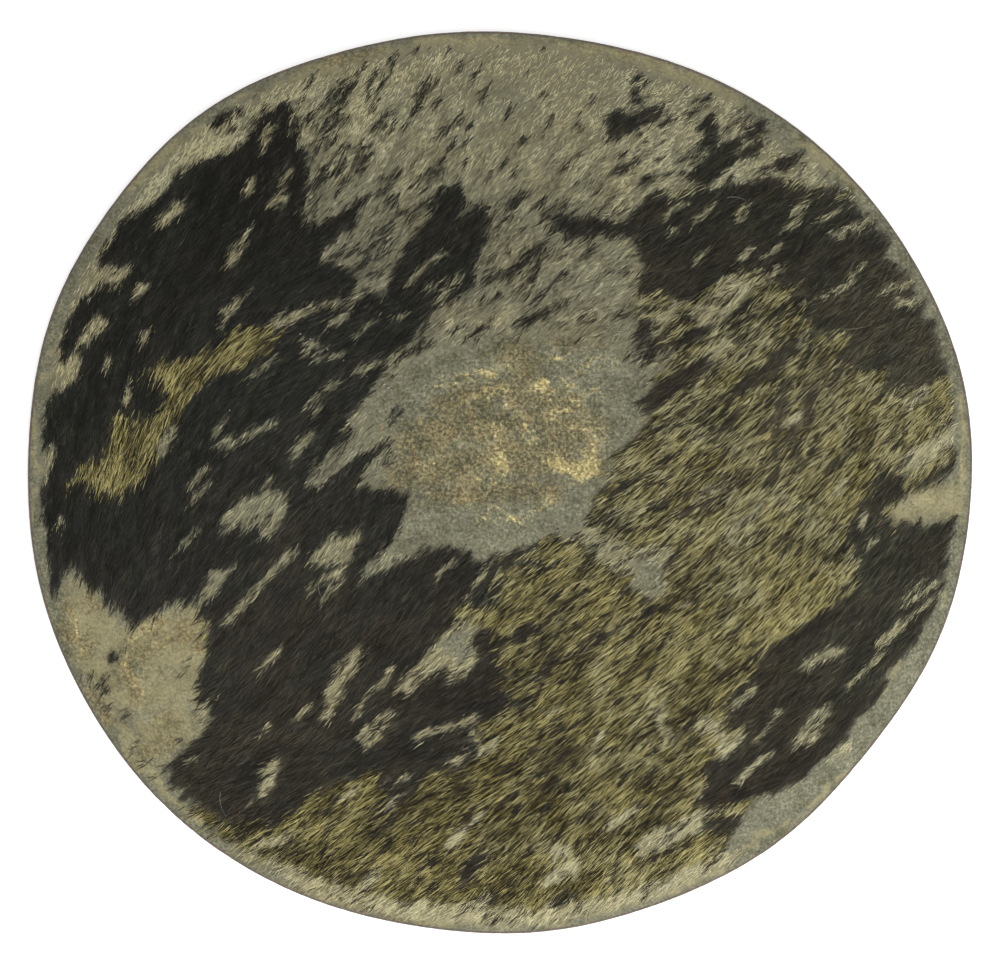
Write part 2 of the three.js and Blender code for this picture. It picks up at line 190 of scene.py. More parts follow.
# The areas of hair and of worn skin, as outlines read off the photograph in its pixels
areas = {
    "topCoat": ("nap", [
        (215, 60), (200, 125), (225, 128), (245, 143), (262, 118), (288, 97), (303, 130), (302, 150),
        (312, 150), (310, 172), (314, 190), (304, 212), (309, 230), (323, 226), (353, 208), (377, 193),
        (356, 218), (358, 237), (339, 240), (329, 250), (324, 263), (347, 267), (361, 291), (391, 300),
        (396, 261), (431, 222), (431, 205), (441, 188), (466, 184), (469, 197), (461, 220), (490, 207),
        (496, 216), (487, 236), (482, 264), (479, 284), (455, 301), (429, 323), (431, 345), (385, 372),
        (370, 397), (347, 421), (360, 432), (325, 457), (309, 481), (326, 485), (358, 458), (400, 439),
        (366, 468), (358, 488), (375, 484), (389, 481), (399, 485), (410, 501), (402, 524), (389, 547),
        (367, 560), (364, 579), (406, 558), (431, 547), (459, 544), (480, 556), (520, 553), (552, 532),
        (585, 528), (592, 500), (612, 480), (618, 450), (640, 438), (652, 405), (660, 372), (680, 345),
        (640, 310), (640, 250), (640, 215), (655, 190), (700, 190), (745, 183), (800, 178), (846, 190),
        (880, 226), (900, 240), (880, 190), (760, 90), (640, 45), (480, 25), (330, 45),
    ]),
    "upperLeftRim": ("nap", [
        (215, 120), (245, 143), (212, 157), (197, 168), (180, 168), (162, 197), (133, 213), (117, 236),
        (98, 262), (84, 298), (68, 325), (60, 353), (82, 358), (82, 375), (62, 390), (48, 400), (44, 440),
        (57, 452), (55, 465), (42, 485), (46, 505), (52, 572), (30, 560), (20, 440), (60, 260), (140, 140),
    ]),
    "blackWest": ("black", [
        (288, 97), (262, 118), (247, 143), (212, 157), (197, 168), (180, 168), (176, 182), (162, 197),
        (133, 213), (121, 222), (117, 236), (98, 262), (100, 285), (84, 298), (68, 325), (60, 353),
        (82, 358), (84, 372), (62, 390), (50, 398), (45, 440), (57, 452), (55, 465), (43, 485), (47, 525),
        (56, 583), (72, 562), (84, 566), (97, 585), (110, 605), (122, 600), (138, 626), (148, 613),
        (165, 607), (196, 598), (205, 590), (205, 615), (213, 632), (208, 660), (199, 672), (200, 698),
        (218, 716), (200, 738), (171, 765), (166, 775), (190, 798), (225, 816), (250, 818), (272, 825),
        (292, 816), (303, 803), (312, 790), (330, 786), (345, 775), (380, 768), (402, 802), (425, 785),
        (432, 768), (468, 763), (486, 740), (470, 722), (497, 714), (512, 696), (504, 660), (508, 636),
        (488, 628), (470, 620), (458, 612), (464, 575), (467, 558), (459, 544), (431, 547), (406, 558),
        (364, 579), (360, 572), (367, 560), (389, 547), (402, 524), (410, 501), (399, 485), (375, 484),
        (360, 489), (366, 468), (400, 439), (358, 458), (326, 485), (309, 481), (325, 457), (360, 432),
        (347, 424), (370, 397), (385, 372), (431, 345), (417, 334), (434, 313), (469, 295), (479, 284),
        (476, 275), (487, 236), (496, 216), (490, 207), (479, 205), (461, 220), (469, 197), (466, 184),
        (441, 188), (431, 205), (431, 222), (406, 249), (392, 278), (391, 300), (361, 291), (347, 267),
        (324, 263), (329, 250), (339, 240), (358, 237), (356, 218), (377, 193), (353, 208), (323, 226),
        (309, 230), (304, 212), (314, 190), (312, 150), (302, 150), (303, 130),
    ]),
    "oliveStreakWest": ("olive", [
        (290, 333), (262, 328), (238, 330), (226, 343), (188, 361), (150, 366), (168, 385), (172, 400),
        (163, 410), (138, 414), (118, 416), (112, 432), (114, 447), (85, 463), (68, 478), (95, 480),
        (112, 492), (142, 480), (156, 467), (160, 440), (185, 410), (207, 381), (252, 360), (275, 351),
    ]),
    "blackEast": ("black", [
        (655, 190), (680, 196), (722, 186), (765, 178), (815, 184), (838, 190), (850, 202), (868, 207),
        (896, 240), (913, 270), (930, 302), (944, 335), (947, 360), (956, 374), (930, 380), (905, 393),
        (892, 382), (880, 370), (862, 373), (833, 360), (852, 334), (838, 330), (820, 336), (806, 312),
        (815, 298), (788, 286), (755, 268), (735, 270), (720, 278), (706, 294), (692, 302), (672, 303),
        (640, 290), (642, 265), (632, 240), (560, 240), (545, 220), (560, 214), (630, 222),
    ]),
    "blackSouthEast": ("black", [
        (885, 462), (903, 478), (905, 488), (884, 510), (881, 520), (905, 521), (926, 526), (961, 514),
        (953, 532), (960, 537), (945, 572), (925, 622), (903, 655), (888, 665), (887, 684), (874, 702),
        (850, 722), (878, 722), (842, 741), (820, 757), (812, 770), (770, 793), (728, 800), (715, 808),
        (743, 812), (728, 838), (716, 828), (703, 805), (696, 803), (710, 780), (702, 766), (738, 735),
        (745, 722), (728, 710), (722, 698), (733, 686), (758, 668), (768, 640), (785, 636), (810, 611),
        (848, 593), (857, 580), (857, 565), (846, 525), (868, 490),
    ]),
    "rightWorn": ("worn", [
        (964, 446), (952, 470), (940, 478), (930, 486), (912, 487), (903, 495), (893, 505), (882, 519),
        (905, 521), (926, 526), (961, 514), (975, 514), (975, 446),
    ]),
    "paleByRightRim": ("pale", [
        (895, 466), (907, 452), (920, 444), (938, 432), (952, 422), (968, 418), (968, 430), (948, 446),
        (930, 462), (918, 471), (905, 471),
    ]),
    "southEastWorn": ("worn", [
        (961, 514), (957, 548), (945, 572), (925, 622), (903, 655), (888, 665), (887, 684), (874, 702),
        (850, 722), (842, 741), (820, 757), (812, 770), (770, 793), (745, 800), (743, 812), (730, 838),
        (722, 862), (690, 882), (700, 900), (820, 820), (930, 680), (975, 540),
    ]),
    "southWestWorn": ("worn", [
        (56, 583), (72, 562), (97, 585), (110, 605), (122, 600), (138, 626), (148, 613), (180, 598),
        (205, 598), (203, 615), (213, 632), (208, 660), (199, 675), (200, 698), (218, 716), (200, 738),
        (171, 765), (175, 788), (207, 806), (150, 800), (70, 690), (40, 580),
    ]),
    "paleBesideCrown": ("pale", [
        (588, 520), (612, 536), (640, 548), (652, 540), (676, 544), (676, 560), (662, 578), (664, 596),
        (640, 594), (628, 575), (604, 560), (585, 545),
    ]),
    "baldBesideCrown": ("worn", [
        (634, 556), (650, 550), (656, 562), (668, 562), (662, 580), (658, 594), (646, 594), (636, 578),
    ]),
    "notchLeft": ("pale", [
        (222, 526), (224, 515), (247, 497), (272, 489), (286, 491), (294, 504), (284, 523), (275, 534),
        (262, 537), (266, 523), (252, 526), (229, 529),
    ]),
    "notchMiddle": ("pale", [
        (311, 558), (316, 550), (336, 531), (364, 527), (365, 537), (353, 558), (340, 564), (329, 561),
        (320, 567),
    ]),
    "notchLow": ("pale", [
        (430, 665), (436, 640), (455, 622), (480, 625), (478, 655), (468, 675), (455, 678), (445, 665),
    ]),
    "baldInNotch": ("worn", [
        (438, 640), (456, 628), (476, 632), (472, 654), (460, 664), (448, 652),
    ]),
    "crown": ("worn", [
        (385, 385), (430, 352), (500, 338), (560, 340), (620, 352), (655, 378), (650, 405), (638, 436),
        (618, 450), (610, 480), (590, 500), (585, 525), (552, 530), (520, 548), (480, 552), (455, 540),
        (431, 543), (404, 552), (395, 540), (404, 522), (412, 500), (400, 482), (385, 478), (400, 440),
        (372, 430), (365, 415), (375, 400),
    ]),
}

# Spots and streaks between two pixels, and their width
streaks = {
    "pale": [
        # over the black of the left side
        (95, 280, 128, 268, 20), (166, 219, 184, 206, 13), (140, 292, 152, 284, 10),
        (236, 262, 242, 250, 13), (252, 188, 258, 181, 12), (274, 206, 288, 200, 12),
        (246, 240, 252, 232, 7), (264, 150, 268, 141, 10), (268, 133, 276, 127, 9), (287, 179, 294, 171, 8),
        (228, 316, 244, 303, 12), (86, 340, 104, 320, 18), (110, 364, 114, 358, 8), (129, 398, 133, 390, 9),
        (145, 338, 150, 332, 8), (61, 520, 64, 514, 7), (168, 444, 176, 434, 15), (224, 443, 262, 432, 8),
        (262, 432, 283, 419, 6), (222, 430, 226, 424, 8), (296, 456, 309, 439, 13), (198, 478, 214, 466, 8),
        (200, 492, 213, 483, 10), (186, 542, 200, 532, 5), (270, 482, 274, 478, 6), (214, 574, 240, 566, 6),
        (207, 592, 226, 576, 14), (298, 548, 285, 560, 14), (285, 560, 262, 585, 8),
        (262, 585, 230, 621, 8), (318, 584, 345, 570, 8), (344, 582, 330, 590, 8), (275, 326, 318, 309, 9),
        (318, 309, 364, 299, 8), (332, 325, 353, 313, 8), (361, 336, 381, 320, 6), (304, 342, 345, 358, 7),
        (256, 376, 285, 355, 6), (313, 402, 342, 383, 5), (318, 412, 322, 408, 6), (358, 374, 378, 364, 7),
        (393, 359, 416, 345, 8), (410, 287, 430, 264, 7), (430, 264, 450, 252, 5), (446, 294, 460, 280, 8),
        (432, 284, 450, 280, 4), (400, 318, 416, 310, 6),
        # over the black below the crown
        (338, 690, 355, 655, 17), (332, 712, 345, 692, 9), (382, 684, 395, 664, 8),
        (410, 682, 432, 660, 20), (368, 736, 386, 718, 20), (363, 710, 372, 692, 7),
        (420, 732, 450, 722, 8), (450, 722, 480, 712, 8), (470, 718, 487, 742, 5), (456, 758, 468, 750, 9),
        (402, 780, 410, 770, 8), (392, 804, 397, 796, 8), (350, 792, 360, 782, 10),
        (270, 784, 278, 760, 14), (264, 730, 272, 722, 8), (186, 762, 194, 757, 7), (252, 803, 256, 797, 6),
        (206, 716, 216, 695, 8), (302, 712, 316, 702, 6), (266, 662, 282, 650, 6), (440, 572, 456, 559, 7),
        (472, 588, 488, 566, 7),
        # over the black of the right side
        (668, 214, 684, 206, 8), (698, 220, 708, 212, 7), (738, 222, 744, 206, 8), (668, 234, 680, 230, 7),
        (736, 262, 750, 250, 9), (694, 262, 702, 256, 6), (766, 256, 775, 250, 6), (784, 232, 800, 218, 7),
        (794, 212, 806, 202, 7), (822, 220, 836, 212, 6), (834, 236, 866, 222, 10), (836, 292, 850, 284, 8),
        (816, 300, 826, 295, 5), (852, 274, 860, 268, 6), (882, 292, 895, 284, 7), (900, 288, 914, 280, 6),
        (896, 304, 918, 300, 9), (884, 233, 889, 229, 7), (760, 285, 785, 262, 7), (672, 310, 680, 302, 9),
        (902, 598, 922, 579, 4), (900, 608, 936, 582, 5), (906, 617, 934, 598, 4), (880, 641, 898, 626, 12),
        (865, 545, 874, 537, 6), (862, 520, 868, 510, 7), (804, 662, 838, 648, 12), (852, 680, 882, 652, 6),
        (806, 736, 822, 710, 20), (774, 713, 779, 708, 6), (762, 732, 766, 725, 8), (738, 778, 768, 750, 8),
        (838, 754, 852, 744, 11), (706, 718, 732, 740, 22), (734, 698, 750, 690, 9),
        # in the olive
        (704, 318, 738, 290, 36), (648, 330, 668, 316, 16), (655, 365, 672, 348, 12),
        (704, 366, 722, 344, 18), (784, 424, 800, 412, 10), (788, 404, 796, 396, 6),
        (800, 340, 808, 330, 9), (704, 490, 716, 486, 13), (690, 440, 700, 430, 7),
        (744, 520, 760, 504, 12), (728, 535, 738, 520, 7), (836, 492, 842, 480, 10),
        (682, 604, 688, 600, 8), (910, 402, 925, 388, 14), (884, 508, 892, 500, 5), (600, 690, 608, 682, 6),
        (600, 735, 612, 722, 8), (560, 845, 572, 870, 20), (550, 878, 575, 862, 16),
        (610, 822, 640, 802, 10), (650, 840, 700, 818, 26), (640, 890, 700, 866, 14),
        (450, 842, 470, 824, 14), (478, 816, 490, 806, 8), (486, 746, 502, 736, 9),
        (266, 838, 295, 832, 11), (268, 868, 276, 860, 9), (366, 885, 380, 872, 12),
        (660, 700, 672, 740, 10), (545, 710, 560, 704, 7), (476, 905, 490, 895, 14),
    ],
    "black": [
        (203, 124, 240, 113, 8), (712, 122, 712, 150, 18), (704, 176, 728, 153, 24),
        (758, 128, 786, 126, 13), (746, 158, 764, 142, 11), (782, 162, 802, 152, 9),
        (747, 118, 757, 110, 8), (690, 113, 706, 104, 6), (684, 158, 700, 152, 6), (735, 140, 760, 133, 6),
        (760, 170, 795, 166, 5), (637, 80, 641, 100, 12), (614, 134, 655, 112, 15),
        (612, 124, 618, 120, 14), (646, 184, 652, 176, 10), (612, 174, 640, 162, 6),
        (514, 204, 530, 192, 7), (506, 278, 545, 246, 8), (530, 284, 540, 262, 6), (520, 325, 545, 315, 6),
        (465, 334, 490, 326, 6), (640, 346, 648, 322, 13), (650, 355, 664, 340, 14),
        (652, 402, 704, 362, 18), (672, 344, 710, 328, 12), (742, 386, 796, 346, 16),
        (786, 386, 776, 424, 15), (813, 390, 808, 412, 12), (795, 430, 797, 458, 13),
        (722, 426, 740, 408, 9), (764, 486, 776, 470, 7), (616, 488, 638, 477, 9), (604, 514, 610, 509, 8),
        (652, 506, 666, 500, 7), (682, 514, 692, 500, 9), (704, 506, 716, 496, 9), (668, 562, 680, 548, 8),
        (642, 612, 656, 604, 8), (588, 642, 606, 632, 10), (518, 632, 536, 622, 13),
        (540, 674, 556, 655, 9), (514, 702, 535, 691, 10), (560, 756, 572, 746, 9),
        (466, 874, 486, 850, 15), (554, 902, 576, 892, 10), (510, 796, 520, 788, 9),
        (558, 562, 500, 560, 7), (500, 560, 535, 546, 6), (395, 455, 380, 449, 5), (398, 416, 401, 404, 5),
        (922, 483, 936, 473, 10), (936, 473, 950, 466, 8), (950, 465, 961, 453, 5), (893, 500, 903, 490, 3),
        # stubble low on the left
        (112, 655, 122, 648, 6), (87, 669, 93, 673, 3), (104, 680, 110, 688, 5), (190, 666, 197, 659, 2),
        (138, 749, 142, 740, 2.5), (146, 764, 152, 758, 3), (108, 701, 111, 704, 2),
        (119, 704, 122, 708, 2.5), (129, 712, 132, 704, 2), (161, 678, 167, 680, 2), (97, 685, 99, 689, 2),
        (157, 775, 163, 771, 2.5), (177, 743, 183, 737, 2),
    ],
    "brown": [
        (446, 134, 460, 122, 7), (442, 166, 456, 142, 5), (418, 112, 426, 92, 6), (396, 178, 404, 168, 6),
        (346, 146, 364, 150, 6), (364, 150, 366, 164, 6), (350, 173, 364, 166, 6), (328, 128, 344, 116, 10),
        (320, 146, 338, 138, 7), (300, 125, 330, 100, 7), (345, 98, 350, 84, 13), (330, 174, 350, 168, 7),
        (400, 218, 425, 205, 5), (375, 235, 395, 228, 5), (365, 250, 385, 244, 5), (380, 130, 384, 120, 8),
        (545, 220, 555, 206, 6), (590, 215, 616, 200, 6), (540, 314, 570, 303, 5), (655, 584, 663, 575, 5),
        (688, 594, 700, 586, 6), (545, 726, 562, 714, 7), (536, 774, 550, 764, 7), (382, 828, 400, 812, 9),
        (412, 820, 434, 808, 7), (386, 846, 398, 834, 7), (478, 902, 502, 890, 7), (610, 906, 622, 892, 6),
        (544, 788, 562, 774, 9), (584, 814, 600, 800, 9), (870, 590, 905, 560, 10),
    ],
}

# Worn places of the bare skin, between two pixels, and their width
skinMarks = {
    "gold": [
        (548, 458, 574, 470, 20), (574, 470, 590, 470, 20), (590, 452, 598, 442, 12),
        (576, 428, 594, 436, 16), (494, 432, 502, 474, 17), (478, 474, 494, 478, 12),
        (456, 384, 480, 372, 15), (480, 376, 512, 370, 14), (472, 400, 504, 390, 14),
        (530, 384, 549, 394, 16), (549, 362, 570, 356, 13), (580, 370, 608, 363, 13),
        (550, 414, 580, 406, 14), (524, 420, 534, 444, 12), (482, 516, 496, 506, 12),
        (504, 516, 526, 521, 14), (534, 510, 546, 500, 10), (612, 329, 620, 337, 10),
        (640, 372, 656, 366, 10), (436, 388, 448, 380, 10), (560, 384, 600, 396, 14),
        (510, 404, 524, 414, 12), (420, 470, 440, 462, 10), (628, 362, 636, 357, 8), (74, 616, 82, 648, 10),
        (164, 622, 136, 636, 10), (133, 642, 130, 672, 8), (132, 678, 144, 690, 9), (152, 638, 172, 648, 8),
        (628, 158, 640, 150, 8), (470, 60, 500, 56, 8), (540, 62, 570, 68, 8), (600, 64, 612, 70, 7),
        (500, 66, 530, 70, 7), (560, 92, 580, 98, 8), (535, 108, 545, 112, 8), (596, 96, 604, 92, 7),
        (452, 42, 500, 40, 7), (556, 44, 600, 52, 6), (880, 492, 890, 486, 5), (910, 508, 930, 500, 6),
    ],
    "bright": [               # the brightest of the gold
        (576, 471, 588, 466, 17), (560, 464, 572, 470, 9), (497, 462, 501, 468, 8), (538, 386, 546, 390, 7),
        (484, 376, 490, 380, 7), (512, 518, 516, 521, 6), (628, 158, 640, 150, 8),
    ],
    "tan": [
        (70, 612, 84, 650, 16), (166, 620, 134, 638, 15), (134, 638, 129, 674, 14),
        (129, 674, 144, 690, 13), (150, 638, 174, 650, 10), (184, 626, 200, 640, 24),
        (416, 445, 469, 420, 46), (396, 478, 470, 464, 40), (500, 455, 560, 455, 46),
        (551, 432, 589, 428, 34), (510, 336, 524, 372, 36), (430, 492, 550, 490, 22),
        (440, 405, 470, 395, 20), (520, 400, 570, 405, 30), (480, 430, 530, 420, 30),
        (590, 452, 600, 470, 16), (545, 338, 600, 345, 18), (480, 395, 530, 385, 18),
        (66, 628, 84, 650, 26), (140, 650, 170, 632, 26), (180, 632, 200, 634, 22),
        (128, 668, 140, 690, 24), (90, 600, 100, 608, 14), (160, 722, 176, 720, 18),
        (150, 750, 170, 740, 22), (490, 70, 620, 74, 34), (330, 60, 380, 54, 18), (880, 610, 900, 590, 10),
        (300, 885, 420, 922, 14), (90, 690, 110, 720, 14),
    ],
    "cream": [
        (80, 600, 110, 640, 50), (140, 640, 195, 620, 54), (140, 690, 190, 680, 60),
        (150, 740, 185, 725, 56), (90, 660, 130, 700, 34), (150, 655, 195, 655, 40), (420, 46, 620, 50, 28),
        (640, 60, 740, 104, 20), (300, 82, 400, 52, 22), (800, 140, 860, 190, 14), (912, 500, 950, 494, 30),
        (130, 190, 180, 145, 14), (36, 420, 34, 520, 6), (69, 622, 80, 616, 8), (73, 636, 80, 650, 9),
        (132, 652, 142, 636, 9), (146, 645, 158, 630, 8), (164, 628, 172, 619, 8), (156, 643, 175, 656, 5),
        (124, 678, 131, 660, 9), (136, 688, 148, 684, 8), (160, 724, 172, 720, 5), (104, 716, 112, 726, 8),
        (120, 735, 130, 744, 8), (130, 752, 142, 762, 8), (340, 896, 420, 918, 12),
        (420, 918, 560, 922, 14), (560, 918, 640, 904, 12), (300, 878, 350, 904, 9),
        (640, 902, 720, 868, 9), (100, 690, 130, 745, 12), (130, 752, 160, 782, 10),
        (160, 786, 200, 822, 9), (958, 400, 966, 440, 8), (962, 440, 960, 520, 6), (898, 514, 955, 505, 30),
        (880, 690, 900, 660, 8), (640, 60, 700, 82, 8), (560, 44, 640, 58, 7), (420, 44, 500, 40, 7),
        (40, 380, 60, 370, 10), (46, 350, 80, 360, 9), (160, 150, 200, 128, 8), (230, 104, 300, 74, 8),
        (690, 108, 720, 118, 10), (808, 804, 850, 772, 6), (745, 846, 790, 818, 7), (700, 870, 740, 852, 7),
    ],
}

# Width in pixels of the worn band inside the edge, by degrees round from the right
rimBand = [(0, 17), (25, 12), (50, 16), (75, 14), (105, 13), (140, 14), (180, 16), (225, 18),
           (255, 26), (270, 30), (290, 26), (320, 18), (345, 16), (360, 17)]

kindCodes = {"worn": 0, "black": 1, "olive": 2, "pale": 3, "nap": 4, "brown": 5}
streakWidth = {"pale": 0.8}    # as a share of the width given, because the hair spreads past its mark

# The hair where no outline lies, by pixels: nap at the upper left, black under it, olive elsewhere
outsideAreas = {"napLeftOf": 585, "napAbove": 540, "blackLeftOf": 500, "blackAbove": 600}


def toPixels(x, y):
    middleX, middleY = photo["middle"]
    return middleX + x / photo["pixel"], middleY - y / photo["pixel"]


def toMillimetres(px, py):
    middleX, middleY = photo["middle"]
    return (px - middleX) * photo["pixel"], (middleY - py) * photo["pixel"]


def insideOutline(outline, px, py):
    inside = np.zeros(px.shape, bool)
    for (startX, startY), (endX, endY) in zip(outline, outline[1:] + outline[:1]):
        if startY != endY:
            crossing = startX + (py - startY) * (endX - startX) / (endY - startY)
            inside ^= ((endY > py) != (startY > py)) & (px < crossing)
    return inside


# How far pixels are from the line between two of them
def awayFrom(ends, px, py):
    startX, startY, endX, endY = ends
    alongX, alongY = endX - startX, endY - startY
    share = ((px - startX) * alongX + (py - startY) * alongY) / (alongX ** 2 + alongY ** 2)
    share = np.clip(share, 0, 1)
    return np.hypot(px - startX - share * alongX, py - startY - share * alongY)


# Which kind of hair shows at each of many pixels
def kindAt(px, py, streakNames):
    napRows = py < outsideAreas["napAbove"]
    blackRows = ~napRows & (py < outsideAreas["blackAbove"])
    kind = np.where((px < outsideAreas["napLeftOf"]) & napRows, kindCodes["nap"], kindCodes["olive"])
    kind[(px < outsideAreas["blackLeftOf"]) & blackRows] = kindCodes["black"]
    for name, outline in areas.values():
        kind[insideOutline(outline, px, py)] = kindCodes[name]
    for name in streakNames:
        for startX, startY, endX, endY, width in streaks[name]:
            width *= streakWidth.get(name, 1)
            near = (px > min(startX, endX) - width) & (px < max(startX, endX) + width)
            near &= (py > min(startY, endY) - width) & (py < max(startY, endY) + width)
            over = awayFrom((startX, startY, endX, endY), px[near], py[near]) < width / 2
            kind[near] = np.where(over, kindCodes[name], kind[near])
    return kind


# How wide the worn band is at each place, in millimetres
def bandAt(x, y):
    turn = np.degrees(np.arctan2(y, x)) % 360
    degrees, widths = zip(*rimBand)
    return np.interp(turn, degrees, widths) * photo["pixel"]


# An even grid over the face, on which the hair and the relief are laid out
layout = {
    "step": 0.7,              # millimetres
    "reachX": 253,
    "reachY": 242,
    "fray": 2.6,              # millimetres that the hair's areas fray along its lie
    "frays": [(1.1, 6, 5, 0.75), (3.3, 12, 6, 0.6)],    # width, reach, seed, strength
    "overshoot": 0.8,         # millimetres that all hair lies over the next area
    "longest": 12,            # millimetres looked ahead for room
    "fringeBelow": 850,       # pixel below which pale hair reaches down into the worn band
    "fringeFrom": 0.45,       # how far in it starts, as a share of the band
}
gridX, gridY = np.meshgrid(
    np.arange(-layout["reachX"], layout["reachX"] + 0.5, layout["step"]),
    np.arange(-layout["reachY"], layout["reachY"] + 0.5, layout["step"]),
)
pixelX, pixelY = toPixels(gridX, gridY)
gridInset = edgeInset(gridX + middleOffset[0], gridY + middleOffset[1])


# A value read off the photograph at a few of its pixels, and smooth between them
def spreadReadings(readings, spread=70, least=1e-6):
    total, weight = 0 * pixelX, 0 * pixelX
    for markX, markY, value in readings:
        near = np.exp(-((pixelX - markX) ** 2 + (pixelY - markY) ** 2) / (2 * spread ** 2)) + least
        total = total + near * value
        weight = weight + near
    return total / weight


lean = np.radians(spreadReadings(lie["readings"], lie["spread"], 1e-7))
towardsX, towardsY = -np.cos(lean), -np.sin(lean)


# Noise drawn out along the hair, about 0 and with a spread of 1, in millimetres
def drawnNoise(cell, reach, seed, samples=9):
    total = 0 * gridX
    for share in np.linspace(-0.5, 0.5, samples):
        way = share * reach
        total = total + smoothNoise(gridX + way * towardsX, gridY + way * towardsY, cell, seed)
    return total / total.std()


def drawnNoises(rows):
    return sum(strength * drawnNoise(width, reach, seed) for width, reach, seed, strength in rows)


frayNoise = drawnNoises(layout["frays"])


# The kind of hair at each place of the grid, its edges frayed along its lie
def layKinds(streakNames):
    along = layout["fray"] * frayNoise
    shownX, shownY = gridX + along * towardsX, gridY + along * towardsY
    kind = kindAt(*toPixels(shownX, shownY), streakNames)
    ownX, ownY = shownX + middleOffset[0], shownY + middleOffset[1]
    inset, band = edgeInset(ownX, ownY), bandAt(ownX, ownY)
    kind[inset < band] = kindCodes["worn"]
    fringe = (inset < band) & (inset > layout["fringeFrom"] * band) & (pixelY > layout["fringeBelow"])
    kind[fringe] = kindCodes["pale"]
    return kind


# How far down its lie, in millimetres, each place's own kind of hair goes on
def roomAhead(kind):
    rows, columns = kind.shape
    row, column = np.mgrid[0:rows, 0:columns]
    room = np.full(kind.shape, layout["overshoot"])
    same = np.ones(kind.shape, bool)
    for way in range(1, layout["longest"] + 1):
        aheadRow = np.rint(row + way * towardsY / layout["step"]).astype(int)
        aheadColumn = np.rint(column + way * towardsX / layout["step"]).astype(int)
        same &= kind[np.clip(aheadRow, 0, rows - 1), np.clip(aheadColumn, 0, columns - 1)] == kind
        room = room + same
    return room


# A mask made soft over some steps of the grid
def softened(mask, times=3):
    values = np.asarray(mask, float)
    for _ in range(times):
        values = (values + np.roll(values, 1, 0) + np.roll(values, -1, 0)
                  + np.roll(values, 1, 1) + np.roll(values, -1, 1)) / 5
    return values


# Values of the grid at any places, kept just inside its last square
def gridSample(values, x, y):
    rows, columns = gridX.shape
    column = np.clip((x + layout["reachX"]) / layout["step"], 0, columns - 1.001)
    row = np.clip((y + layout["reachY"]) / layout["step"], 0, rows - 1.001)
    left, low = column.astype(int), row.astype(int)
    fx, fy = column - left, row - low
    return (values[low, left] * (1 - fx) * (1 - fy) + values[low, left + 1] * fx * (1 - fy)
            + values[low + 1, left] * (1 - fx) * fy + values[low + 1, left + 1] * fx * fy)


# Small dark wisps among the pale and the olive hair
wispBuild = {
    "width": 2.6,             # millimetres
    "reach": 9,
    "seed": 61,
    "few": 2.1,               # how far above the noise's mean a wisp starts, for a reading of 0 and of 1
    "many": 0.4,
    "spread": 34,             # pixels over which a reading counts
    "readings": [             # how thick they are, from 0 for few
        (340, 110, 0.45), (400, 130, 0.4), (430, 105, 0.35), (330, 160, 0.7), (400, 175, 0.5),
        (450, 150, 0.6), (380, 230, 0.7), (425, 205, 0.7), (350, 200, 0.5), (540, 250, 0.6),
        (520, 295, 0.5), (590, 225, 0.5), (620, 300, 0.4), (560, 315, 0.35), (480, 80, 0.1),
        (560, 120, 0.2), (600, 80, 0.1), (550, 170, 0.15), (500, 190, 0.3), (700, 150, 0.6),
        (665, 112, 0.2), (740, 130, 0.65), (780, 160, 0.6), (360, 425, 0.5), (330, 475, 0.4),
        (380, 395, 0.4), (640, 410, 0.5), (655, 350, 0.9), (140, 180, 0.3), (500, 235, 0.6),
        (300, 80, 0.45), (60, 370, 0.0), (640, 250, 0.3), (580, 270, 0.3), (820, 150, 0.2),
        (780, 420, 1.05), (700, 460, 1.1), (800, 560, 0.6), (830, 610, 0.35), (620, 640, 0.95),
        (560, 760, 0.65), (640, 740, 0.75), (350, 850, 0.55), (420, 820, 0.75), (480, 860, 0.75),
        (600, 860, 0.65), (700, 560, 0.6), (860, 440, 0.8), (690, 600, 1.0), (620, 560, 0.9),
        (720, 330, 0.9), (780, 350, 1.0), (760, 650, 0.7), (130, 450, 0.0), (200, 370, 0.15),
        (690, 700, 0.5), (540, 620, 0.8), (520, 690, 0.7),
    ],
}

groundKind = layKinds(("pale", "black"))
shownKind = layKinds(("pale", "black", "brown"))
wispShare = spreadReadings(wispBuild["readings"], wispBuild["spread"])
wispStart = wispBuild["few"] + (wispBuild["many"] - wispBuild["few"]) * wispShare
wisps = drawnNoise(wispBuild["width"], wispBuild["reach"], wispBuild["seed"]) > wispStart
wisps |= shownKind == kindCodes["brown"]
room = roomAhead(groundKind)
print("areas of hair laid out")


def isKind(*names):
    return np.isin(groundKind, [kindCodes[name] for name in names])


# Relief of the skin in millimetres, under and between the hair
relief = {
    "coatLift": 0.7,          # the hair's own thickness at its roots
    "coatSoft": 7,            # steps of the grid over which it runs out
    "coatLocks": [(7, 26, 21, 0.45)],    # width, reach, seed, rise
    "topLift": 0.5,
    "topSoft": 30,
    "topLocks": [(6, 20, 22, 0.225)],
    "wrinkle": 0.35,
    "wrinkleCell": 9,
    "wrinkleSeed": 31,
    "plainEdge": 3,           # millimetres inside the edge without relief
    "edgeFade": 5,
}


def layRelief():
    furred = softened(isKind("black", "olive"), relief["coatSoft"])
    thin = softened(isKind("pale", "nap"), relief["topSoft"])
    rise = furred * (relief["coatLift"] + drawnNoises(relief["coatLocks"]))
    rise = rise + thin * (relief["topLift"] + drawnNoises(relief["topLocks"]))
    wrinkles = roughNoise(gridX, gridY, relief["wrinkleCell"], relief["wrinkleSeed"], 4)
    rise = rise + relief["wrinkle"] * wrinkles
    return rise * np.clip((gridInset - relief["plainEdge"]) / relief["edgeFade"], 0, 1)


reliefGrid = layRelief()


